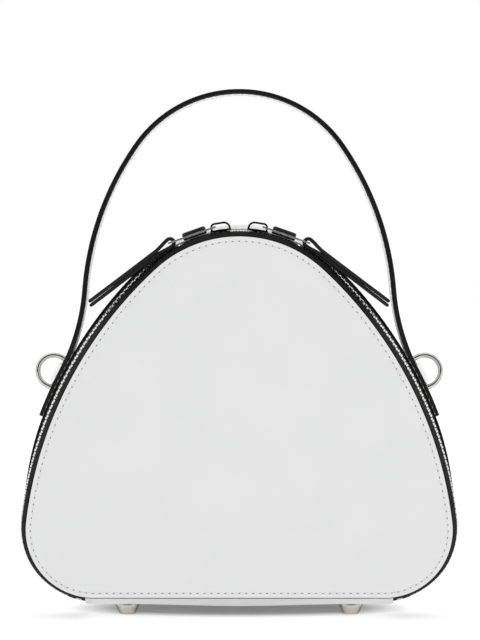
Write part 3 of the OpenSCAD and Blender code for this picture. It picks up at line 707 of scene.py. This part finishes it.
def outer_at(s, y):
    """Height of the gusset's outer side at depth y."""
    line = smooth_line(gusset_line(s), 4)
    for (off0, y0), (off1, y1) in zip(line, line[1:]):
        if y0 <= y <= y1:
            return mix(off0, off1, (y - y0) / (y1 - y0))
    return line[-1][0]


def out_normal(s):
    return (math.sin(lean(s)), 0, math.cos(lean(s)))


# Two rows of stitches, drawn a little into the leather
STITCH_SINK = 0.06
for name, y in (("gusset_zip_stitches", GUSSET_Y + 2.2), ("gusset_zip_stitches_second", GUSSET_Y + 8.2)):
    places, pitch = outline_stitches(
        -ZIP_END + 2, ZIP_END - 2, lambda s, y=y: (outer_at(s, y) - STITCH_SINK, y), STITCH, out_normal
    )
    stitch_row(name, places, pitch, "bag", 0.62, 0.22, hole_r=0.3)


# --- Base leather: one piece from the front panel to the back, folding between the zip's ends ---
BASE_T, BASE_SAG = 1.3, 1.25
FOOT_X, FOOT_Y, FOOT_H = 62.5, 21.0, 6.0
BASE_LINE = [
    (0.3, -BACK_IN), (1.25, -40.4), (2.15, -37), (2.85, -34), (3.1, -32.7), (2.95, -32.0), (3.2, -31.3),
    (3.75, -30.5), (5.4, -28.8), (5.9, -27.2), (5.92, -18), (5.92, -6), (5.92, 6), (5.92, 18), (5.9, 28.6),
    (4.75, 36), (2.5, 41), (0.45, BACK_IN),
]
BASE = [*spread(ZIP_END, HALF_L, 2.4), *spread(-HALF_L, -ZIP_END, 2.4)[1:]]


def base_sag(s, y):
    """The leather hangs a little between the feet, and lies flat on them."""
    x = at(s, 0, 0)[0]
    across = math.cos(math.pi * x / (2 * FOOT_X)) ** 2 if abs(x) < FOOT_X else 0.0
    return BASE_SAG * across * ease((y + 34) / 7) * ease((40 - y) / 16)


def base_section(s):
    outer = smooth_line(BASE_LINE, 3)
    n = len(outer)
    inner = []
    for i, (off, y) in enumerate(outer):
        a, b = outer[max(i - 1, 0)], outer[min(i + 1, n - 1)]
        d_off, d_y = b[0] - a[0], b[1] - a[1]
        size = math.hypot(d_off, d_y)
        t = mix(0.6, BASE_T, ease((y + BACK_IN) / 8))
        inner.append((off - t * d_y / size, y + t * d_off / size))
    inner[0], inner[-1] = (-0.3, 0.6 - BACK_IN), (-0.75, BACK_IN - GUSSET_T)
    hems = [(-HEM_W, -BACK_IN)], [(-HEM_W, BACK_IN), (-HEM_W, BACK_IN - GUSSET_T)]
    ring = [*hems[0], *outer, *hems[1], *reversed(inner), (-HEM_W, 0.6 - BACK_IN)]
    return [(off + base_sag(s, y), y) for off, y in ring]


# The first faces are painted black as painted shade in the seam under the front panel, and the inner side is
# lined
OUTER_N = 3 * (len(BASE_LINE) - 1) + 1
base_leather = swept(
    "base_leather", BASE, base_section, WHITE, None, stands_for=["base_panel", "front_base_strip"],
    paint=[(EDGE_PAINT_AND_SEAM_SHADE, range(0, 3), 0), (LINING, range(OUTER_N + 3, 2 * OUTER_N + 3), 0)],
)
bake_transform(base_leather)


def base_outer(y):
    line = smooth_line(BASE_LINE, 3)
    for (off0, y0), (off1, y1) in zip(line, line[1:]):
        if y0 <= y <= y1:
            return mix(off0, off1, (y - y0) / (y1 - y0))
    return line[-1][0]


# A short row of stitches closes the base strip beyond each end of the zip
places = []
for s in (ZIP_END + 2.4, -ZIP_END - 2.4):
    for y in (-41.6, -39.4, -37.2, -35.0):
        a, b = at(s, base_outer(y - 0.8), y - 0.8), at(s, base_outer(y + 0.8), y + 0.8)
        along = Vector(b) - Vector(a)
        tangent = Vector((math.cos(lean(s)), 0, -math.sin(lean(s))))
        normal = tangent.cross(along)
        normal *= math.copysign(1, normal.z * math.cos(lean(s)) + normal.x * math.sin(lean(s)))
        places.append((at(s, base_outer(y) + 0.04, y), along, normal))
stitch_row("zip_end_tacks", places, 2.2, "front_flap", 0.6, 0.24, hole_r=0.45)


# --- Handle: two leathers over a core, with painted edges and a row of stitches along each side ---
HANDLE_TOP, HANDLE_W, HANDLE_BACK = 294.0, 21.0, 8.0
LEATHER_T, CORE_T = 1.1, 0.8
HANDLE_T = 2 * LEATHER_T + CORE_T
TURNS = [math.radians(a) for a in (0, 54.9, 85.4, 62.5, 69.2)]
HANDLE_TOP_R = 72.2
HANDLE_OFF = SIDE_CROWN + 0.1 + HANDLE_T


def swing(a, b):
    return Vector((math.sin(b) - math.sin(a), math.cos(b) - math.cos(a)))


def handle_arcs():
    """Radii of the side and foot arcs that join the top arc to the landing on the gusset."""
    landing = Vector(SIDE_C) + (SIDE_R + HANDLE_OFF) * Vector((math.sin(TURNS[3]), math.cos(TURNS[3])))
    knee = Vector((0, HANDLE_TOP)) + HANDLE_TOP_R * swing(0, TURNS[1])
    reach = landing - knee
    outward, inward = swing(TURNS[1], TURNS[2]), swing(TURNS[3], TURNS[2])
    det = outward.x * inward.y - outward.y * inward.x
    side_r = (reach.x * inward.y - reach.y * inward.x) / det
    foot_r = (outward.x * reach.y - outward.y * reach.x) / det
    return knee, side_r, knee + side_r * outward, foot_r


def handle_path():
    """(point, angle) along the right half of the strap's outer face, from the top middle."""
    knee, side_r, hip, foot_r = handle_arcs()
    top = Vector((0, HANDLE_TOP))
    path = [(top + HANDLE_TOP_R * swing(0, a), a) for a in spread(0, TURNS[1], 0.035)]
    path += [(knee + side_r * swing(TURNS[1], a), a) for a in spread(TURNS[1], TURNS[2], 0.02)[1:]]
    path += [(hip + foot_r * swing(a, TURNS[2]), a) for a in spread(TURNS[2], TURNS[3], 0.014)[1:]]
    r = SIDE_R + HANDLE_OFF
    for a in spread(TURNS[3], TURNS[4], 0.01)[1:]:
        path.append((Vector(SIDE_C) + r * Vector((math.sin(a), math.cos(a))), a))
    return path


HALF_STRAP = handle_path()
STRAP = [(Vector((-p.x, p.y)), -a) for p, a in reversed(HALF_STRAP)] + HALF_STRAP[1:]


def strap_piece(name, section, material, node, sharp=40, extra=0.0):
    """Sweeps a closed list of (depth, distance in from the outer face) along the strap."""
    path = list(STRAP)
    for end, nxt in ((0, 1), (-1, -2)):
        p, a = path[end]
        path[end] = (p + (p - path[nxt][0]).normalized() * extra, a)
    points, uvs, run = [], [], 0.0
    for i, (p, a) in enumerate(path):
        run += (p - path[i - 1][0]).length if i else 0.0
        across = 0.0
        for j, (y, t) in enumerate(section):
            across += math.dist(section[j - 1], (y, t)) if j else 0.0
            points.append((p.x - t * math.sin(a), HANDLE_BACK + y, p.y - t * math.cos(a)))
            uvs.append((run, across))
    faces = sweep_faces(len(section), len(path), False)
    return mesh_object(name, points, faces, material, "bag", sharp, [node], uvs)


HALF_W = HANDLE_W / 2
FACE_HALF = HALF_W - 0.55


def leather_section(t0, t1, face_t):
    """A leather of the strap, thinned a little towards its edges on its outer side."""
    top = []
    for y in spread(-FACE_HALF, FACE_HALF, 1.3):
        top.append((y, face_t + 0.14 * math.copysign((abs(y) / FACE_HALF) ** 4, t1 - t0)))
    return [*top, (FACE_HALF, t1), (-FACE_HALF, t1)]


def edge_section():
    """The core and the painted edges that cap both leathers, bulging a little."""
    bulge = [
        (HALF_W - 0.55, 0.12), (HALF_W - 0.25, 0.08), (HALF_W - 0.05, 0.3), (HALF_W + 0.08, 0.8),
        (HALF_W + 0.12, HANDLE_T / 2),
    ]
    bulge += [(y, HANDLE_T - t) for y, t in reversed(bulge[:-1])]
    web = [(HALF_W - 0.9, LEATHER_T + CORE_T - 0.02), (0.9 - HALF_W, LEATHER_T + CORE_T - 0.02)]
    other = [(-y, t) for y, t in reversed(bulge)]
    back = [(0.9 - HALF_W, LEATHER_T + 0.02), (HALF_W - 0.9, LEATHER_T + 0.02)]
    return [*bulge, *web, *other, *back]


strap_piece("strap_outer", leather_section(0, LEATHER_T, 0.0), STRAP_WHITE, "handle_outer", 60)
strap_piece(
    "strap_inner", leather_section(HANDLE_T, HANDLE_T - LEATHER_T, HANDLE_T), STRAP_WHITE, "handle_inner", 60
)
strap_piece("strap_edge", edge_section(), EDGE_PAINT_AND_SEAM_SHADE, "handle_core", 50, extra=0.5)


def strap_places(y, t, out, pitch):
    """Places of stitches along the strap at depth y on one of its faces."""
    lengths = [0.0]
    for (p, _), (q, _) in zip(STRAP, STRAP[1:]):
        lengths.append(lengths[-1] + (q - p).length)
    count = round((lengths[-1] - 6) / pitch)
    step, places, i = (lengths[-1] - 6) / count, [], 0
    for k in range(count):
        at_l = 3 + (k + 0.5) * step
        while lengths[i + 1] < at_l:
            i += 1
        w = (at_l - lengths[i]) / (lengths[i + 1] - lengths[i])
        (p, a), (q, b) = STRAP[i], STRAP[i + 1]
        spot, turn = p.lerp(q, w), mix(a, b, w)
        normal = Vector((math.sin(turn), 0, math.cos(turn)))
        place = Vector((spot.x, HANDLE_BACK + y, spot.y)) - normal * t
        places.append((place, Vector((q.x - p.x, 0, q.y - p.y)), normal * out))
    return places, step


STRAP_STITCH_IN = 2.4
for side, word in ((-1, "front"), (1, "rear")):
    for t, out, face in ((0.03, 1, "outer"), (HANDLE_T - 0.03, -1, "inner")):
        places, pitch = strap_places(side * (HALF_W - STRAP_STITCH_IN), t, out, STITCH)
        stitch_row(f"strap_{face}_{word}_stitches", places, pitch, "bag", 0.56, 0.12, hole_r=0.2)


# --- Side rings and the leather tabs that hold them ---
RING_TURN, RING_BACK = math.radians(63.5), 23.5
RING_S = TOP_L + SIDE_R * (RING_TURN - TOP_TURN)
WIRE_R, RING_ARC_R, RING_ARM = 1.5, 9.2, 3.4
LOOP_IN, RING_TAB_T, RING_TAB_W = 1.65, 1.2, 11.0
BAR_OFF = SIDE_CROWN + 0.1 + LOOP_IN + RING_TAB_T


def on_outline(s, off, y):
    """Matrix that places (along, depth, out) at length s of the outline."""
    x_dir = Vector((math.cos(lean(s)), 0, -math.sin(lean(s))))
    z_dir = Vector(out_normal(s))
    m = Matrix((x_dir, Vector((0, 1, 0)), z_dir)).transposed().to_4x4()
    m.translation = Vector(at(s, off, y))
    return m


def tube(path, r, around):
    """Points and faces of a round wire along a closed 3D path in the XZ plane."""
    points, n = [], len(path)
    for i in range(n):
        d = (Vector(path[(i + 1) % n]) - Vector(path[i - 1])).normalized()
        side = Vector((0, 1, 0))
        out = side.cross(d)
        for k in range(around):
            a = 2 * math.pi * k / around
            points.append(tuple(Vector(path[i]) + r * (math.cos(a) * out + math.sin(a) * side)))
    return points, sweep_faces(around, n, True)


def ring_path():
    arc = [
        (RING_ARC_R * math.cos(a), 0, RING_ARM + RING_ARC_R * math.sin(a)) for a in spread(0, math.pi, 0.07)
    ]
    corner = 1.2
    left = [
        (-RING_ARC_R + corner - corner * math.cos(a), 0, corner - corner * math.sin(a))
        for a in spread(0, math.pi / 2, 0.26)
    ]
    right = [(-x, y, z) for x, y, z in reversed(left)]
    return [*arc, *left, *right]


def tab_line():
    """Middle line of the folded ring tab, from its upper end round the bar to its lower end."""
    tail_y = RING_BACK + 11.0
    flat = outer_at(RING_S, tail_y) + 0.1
    knee = outer_at(RING_S, RING_BACK + 4) + 0.1
    r = LOOP_IN + RING_TAB_T / 2
    turns = spread(math.radians(60), math.radians(262), 0.2)
    loop = [(BAR_OFF + r * math.sin(a), RING_BACK + r * math.cos(a)) for a in turns]
    upper = [(flat + 1.5 * RING_TAB_T, tail_y), (knee + 1.62 * RING_TAB_T, RING_BACK + 5.2)]
    lower = [(knee + 0.55 * RING_TAB_T, RING_BACK + 4.6), (flat + 0.5 * RING_TAB_T, tail_y)]
    return smooth_line([*upper, *loop, *lower], 3)


for side, word in ((-1, "left"), (1, "right")):
    seat = on_outline(side * RING_S, BAR_OFF, RING_BACK)
    points, faces = tube(ring_path(), WIRE_R, 20)
    mesh_object(
        f"ring_wire_{word}", moved(points, seat), faces, NICKEL, f"{word}_ring", 60, [f"ring_{word}"]
    )
    line = tab_line()
    strip = ribbon(line, RING_TAB_T)
    seat = on_outline(side * RING_S, 0, 0)
    points = []
    for x in (-1.0, -0.96, 0.96, 1.0):
        points += [(x * RING_TAB_W / 2, y, off) for off, y in strip]
    obj = mesh_object(
        f"ring_loop_{word}", moved(points, seat), sweep_faces(len(strip), 4, False), TAB_WHITE, "bag", 40,
        [f"ring_tab_{word}"],
    )
    bevelled(obj, 0.25)


# --- Sliders' pulls: leather pads and folded tabs ---
JOINT_AT = {j["name"]: Vector(j["pos_m"]) / MM for j in frame["joints"]}
PULL_TILT, TAB_TILT = math.radians(19.3), math.radians(37.2)


def hung(word, joint, tilt):
    """Matrix of a piece that hangs from a joint and points away from the middle of the bag."""
    m = Matrix.Translation(JOINT_AT[f"{word}_{joint}"])
    if word == "left":
        return m @ Matrix.Scale(-1, 4, (1, 0, 0)) @ Matrix.Rotation(tilt, 4, "Y")
    return m @ Matrix.Rotation(tilt, 4, "Y")


PAD_START, PAD_L, PAD_W = 4.9, 13.6, 6.5
PAD_LAYERS = ((0.52, 2.6), (-1.7, -0.52))


def stadium(x0, x1, w, inset):
    """Outline of a pad with round ends, in by inset."""
    r, out = w / 2, w / 2 - inset
    points = [(x1 - r + out * math.sin(a), out * math.cos(a)) for a in spread(0, math.pi, 0.16)]
    points += [(x0 + r + out * math.sin(a), out * math.cos(a)) for a in spread(math.pi, 2 * math.pi, 0.16)]
    return points


def pad_points(z0, z1):
    """A leather pad between two heights over the pull plate, soft at the edges away from it."""
    up = 1 if z0 > 0 else -1
    low, high = (z0, z1) if up > 0 else (z1, z0)
    e = min(1.1, abs(high - low) * 0.6)
    levels = [(0.25, low), (0.08, low + up * 0.08), (0, low + up * 0.25), (0.0, high - up * e)]
    for a in spread(0.3, math.pi / 2, 0.32):
        levels.append((e * (1 - math.cos(a)), high - up * e * (1 - math.sin(a))))
    levels += [(1.6, high + up * 0.05), (2.6, high + up * 0.07)]
    end = PAD_START + PAD_L
    rings = [[(x, y, z) for x, y in stadium(PAD_START, end, PAD_W, inset)] for inset, z in levels]
    return [p for ring in rings for p in ring], len(rings[0]), len(rings)


TAB_L, TAB_W, LAYER_T = 56.4, 9.0, 2.0
FOLD_R, JOIN_L = 1.3, 8.4
LAYER_SHIFT = 0.9


def tab_mesh():
    """Leather folded round the pull's end bar, its two layers meeting from JOIN_L on."""
    r = FOLD_R + LAYER_T - 0.1
    layer = LAYER_T - 0.01
    fold = [(r * math.cos(a), r * math.sin(a)) for a in spread(math.radians(78), math.radians(282), 0.16)]

    def part(x):
        """Half of the gap between the layers, which spring apart a little near their tips."""
        return 0.1 * ease((x - 30) / 22)

    neck = [(JOIN_L * 0.3, r - 0.22), (JOIN_L * 0.62, LAYER_T + 0.46), (JOIN_L, LAYER_T + 0.04)]
    upper = [(x, LAYER_T + part(x)) for x in spread(TAB_L - LAYER_SHIFT - 1, JOIN_L + 3, 6)]
    lower = [(x, -LAYER_T - part(x)) for x in spread(JOIN_L + 3, TAB_L - 1, 6)]
    line = [*upper, *reversed(neck), *fold, *((x, -z) for x, z in neck), *lower]
    loop = ribbon(line, layer, 8)
    n, points = len(loop), []
    edge = [(1 - math.sin(a), 1 - math.cos(a)) for a in spread(0, math.pi / 2, 0.5)]
    slices = [(w * 0.5, u * 0.42) for w, u in edge]
    slices = [(-TAB_W / 2 + w, u) for w, u in reversed(slices)] + [(TAB_W / 2 - w, u) for w, u in slices]
    for y, inset in slices:
        for i, (x, z) in enumerate(loop):
            a, b = loop[i - 1], loop[(i + 1) % n]
            size = math.dist(a, b) or 1.0
            points.append((x - inset * (b[1] - a[1]) / size, y, z + inset * (b[0] - a[0]) / size))
    return points, sweep_faces(n, len(slices), False)


for word in ("left", "right"):
    seat = hung(word, "pull_swing", PULL_TILT)
    points, faces = [], []
    for z0, z1 in PAD_LAYERS:
        pad, n, m = pad_points(z0, z1)
        first = len(points)
        points += pad
        faces += [tuple(first + v for v in f) for f in sweep_faces(n, m, False)]
    mesh_object(
        f"pads_{word}", moved(points, seat), faces, BLACK, f"{word}_pull", 50, [f"pull_pads_{word}"]
    )
    points, faces = tab_mesh()
    seat = hung(word, "tab_swing", TAB_TILT)
    mesh_object(f"tab_{word}", moved(points, seat), faces, BLACK, f"{word}_tab", 50, [f"pull_tab_{word}"])


# --- Feet, linings and the CAD pieces that stay ---
FOOT_PROFILE = [
    (0, 0.25), (3.2, 0.25), (3.7, 0.05), (4.0, 0.0), (4.3, 0.06), (4.5, 0.3), (4.6, 0.7), (5.2, 2.0),
    (5.95, 3.4), (6.5, 4.3), (6.7, 4.6), (6.8, 4.9), (6.8, 5.85), (6.7, FOOT_H), (1.5, FOOT_H), (1.5, 12.3),
    (0, 12.3),
]
foot_points, foot_faces = [], []
for x in (-1, 1):
    for y in (-1, 1):
        points, faces = lathe(FOOT_PROFILE, 56)
        first = len(foot_points)
        foot_points += moved(points, Matrix.Translation((x * FOOT_X, y * FOOT_Y, 0)))
        foot_faces += [tuple(first + v for v in f) for f in faces]
mesh_object("metal_feet", foot_points, foot_faces, FOOT_NICKEL, "bag", 40, ["feet"])


def flat_cloth(name, y0, y1, inset, body, node, pillow):
    """Lining cloth over a panel's board, puffed a little towards the inside (y1)."""
    n, up = len(LOOP), math.copysign(1, y1 - y0)
    edge = [(3, 0), (0, 0), (-0.05, 0.5), (0.1, 0.9), (0.4, 1)]
    rings = [[at(s, -inset - d, mix(y0, y1, share)) for s in LOOP] for d, share in edge]
    for d in (4, 6.2):
        rings.append([at(s, -d, y1 + (0.02 if d == 4 else pillow * 0.2) * up) for s in LOOP])
    rim = rings[-1]
    for k in [0.93, 0.85, 0.75, 0.6, 0.45, 0.3, 0.15]:
        y = y1 + up * pillow * (0.2 + 0.8 * (1 - k))
        rings.append([(p[0] * k, y, mix(PANEL_MID[1], p[2], k)) for p in rim])
    points = [p for ring in rings for p in ring]
    points += [(0, y1 + up * pillow, PANEL_MID[1]), (0, y0, PANEL_MID[1])]
    faces = sweep_faces(n, len(rings), False)[:-2]
    last = (len(rings) - 1) * n
    faces += [(last + j, last + (j + 1) % n, len(points) - 2) for j in range(n)]
    faces += [((j + 1) % n, j, len(points) - 1) for j in range(n)]
    uvs = [(p[0], p[2]) for p in points]
    return mesh_object(name, points, faces, LINING, body, 60, [node], uvs)


INNER_Y = BACK_IN - STIFFENER_T
flat_cloth("front_lining_cloth", -INNER_Y, LINING_T - INNER_Y, 1.8, "front_flap", "front_lining", 0.25)
flat_cloth("back_lining_cloth", INNER_Y, INNER_Y - LINING_T, 1.2, "bag", "back_lining", 0.25)


def floor_cloth():
    """Cloth glued over the base board, lifting a little towards its raw edges."""
    (x0, y0, z0), (x1, y1, z1) = ([c / MM for c in corner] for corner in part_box("base_lining"))
    xs, ys = spread(x0, x1, 4), spread(y0, y1, 4)
    points = []
    for z in (z1, z0):
        for x in xs:
            for y in ys:
                near = min(x - x0, x1 - x, y - y0, y1 - y)
                points.append((x, y, z + 0.12 * (1 - ease(near / 5))))
    m, n = len(xs), len(ys)
    faces = []
    for i in range(m - 1):
        for j in range(n - 1):
            quad = (i * n + j, (i + 1) * n + j, (i + 1) * n + j + 1, i * n + j + 1)
            faces += [quad, tuple(v + m * n for v in reversed(quad))]
    border = [i * n for i in range(m)] + [(m - 1) * n + j for j in range(1, n)]
    border += [i * n + n - 1 for i in range(m - 2, -1, -1)] + list(range(n - 2, 0, -1))
    for a, b in zip(border, [*border[1:], border[0]]):
        faces.append((b, a, a + m * n, b + m * n))
    mesh_object(
        "base_lining_cloth", points, faces, LINING, "bag", 60, ["base_lining"], [(p[0], p[1]) for p in points]
    )


floor_cloth()

for node, material, width in (
    ("front_zip_teeth", ZIP_METAL, 0.16), ("rear_zip_teeth", ZIP_METAL, 0.16),
    ("front_zip_stops", ZIP_METAL, 0.2), ("rear_zip_stops", ZIP_METAL, 0.2),
    ("slider_left", NICKEL, 0.14), ("slider_right", NICKEL, 0.14),
    ("pull_plate_left", PLATE_METAL, 0.42), ("pull_plate_right", PLATE_METAL, 0.42),
    ("foot_nuts", FOOT_NICKEL, 0.2), ("base_board", BOARD, 0.2),
    ("front_stiffener", BOARD, 0.2), ("back_stiffener", BOARD, 0.2),
):
    obj = frame["nodes"][node]
    obj.data.materials.clear()
    obj.data.materials.append(material)
    bevelled(obj, width, 2, 30)

# --- Floor, light and camera ---
# A white floor that glows like a light table. Its glow is cut down in an oval under the bag as a painted
# shadow, rises outwards to a painted pool of brighter light just around the bag, and falls to its far
# strength beyond.
SHADE_X, SHADE_Y = 0.098, 0.036
GLOW_LEAST, GLOW_FAR, GLOW_NEAR = 0.09, 0.36, 0.62
floor_sh = Shader(
    "studio_floor_painted_shadow", (0.72, 0.72, 0.72), 0.7, Specular_IOR_Level=0.1, Emission_Color=(1, 1, 1, 1)
)
floor_sh.vary("Roughness", floor_sh.noise(3, 2), 0.66, 0.74)
from_bag = floor_sh.node("ShaderNodeVectorMath", operation="LENGTH")
floor_sh.links.new(floor_sh.place((1 / SHADE_X, 1 / SHADE_Y, 1)), from_bag.inputs[0])
away = from_bag.outputs["Value"]
falling = floor_sh.math("SUBTRACT", GLOW_NEAR, floor_sh.math("MULTIPLY", away, 0.12))
growing = floor_sh.math("SUBTRACT", floor_sh.math("MULTIPLY", away, 1.15), 0.7)
# The floor's glow: a painted shadow in the oval under the bag, and a painted pool of light around it
painted_shadow_glow = floor_sh.math("MINIMUM", growing, floor_sh.math("MAXIMUM", falling, GLOW_FAR))
painted_shadow_glow = floor_sh.math("MAXIMUM", painted_shadow_glow, GLOW_LEAST)
floor_sh.links.new(painted_shadow_glow, floor_sh.bsdf.inputs["Emission Strength"])
bpy.ops.mesh.primitive_plane_add(size=12, location=(0, 0, 0))
floor = bpy.context.object
floor.name = "floor"
floor.data.materials.append(floor_sh.mat)

scene = bpy.context.scene
scene.view_settings.view_transform = "Standard"

world = bpy.data.worlds.new("studio")
world.use_nodes = True
world.node_tree.nodes["Background"].inputs["Color"].default_value = (1, 1, 1, 1)
world.node_tree.nodes["Background"].inputs["Strength"].default_value = 1.0
scene.world = world

# One very soft light from straight above, which keeps the floor white and leaves a faint shadow
overhead_data = bpy.data.lights.new("overhead", "SUN")
overhead_data.energy = 0.35
overhead_data.angle = math.radians(110)
overhead = bpy.data.objects.new("overhead", overhead_data)
scene.collection.objects.link(overhead)

# The dark end of the studio behind the camera, which only the polished metal shows
card_sh = Shader("dark_studio_end", (0.004, 0.004, 0.004), 0.9, Specular_IOR_Level=0.0)
bpy.ops.mesh.primitive_plane_add(size=1, location=(0, -1.5, 0.9), rotation=(math.pi / 2, 0, 0))
card = bpy.context.object
card.name = "studio_end"
card.scale = (2.8, 1.8, 1)
card.data.materials.append(card_sh.mat)
card.visible_camera = card.visible_diffuse = card.visible_shadow = False

# Camera fitted to the photograph: 1.4 m in front of the face, level with the bag's top, looking down a little
CAM_DIST, CAM_Z, CAM_TILT, CAM_LENS_PX = 1400.0, 217.5, math.radians(2.138), 2554.3
cam_data = bpy.data.cameras.new("camera")
cam_data.sensor_fit = "VERTICAL"
cam_data.sensor_height = 36.0
cam_data.lens = 36.0 * CAM_LENS_PX / 640
cam_data.clip_start, cam_data.clip_end = 0.05, 30
camera = bpy.data.objects.new("camera", cam_data)
scene.collection.objects.link(camera)
camera.location = (0.445 * MM, -(FACE_Y + CAM_DIST) * MM, CAM_Z * MM)
camera.rotation_euler = (math.pi / 2 - CAM_TILT, 0, 0)
scene.camera = camera
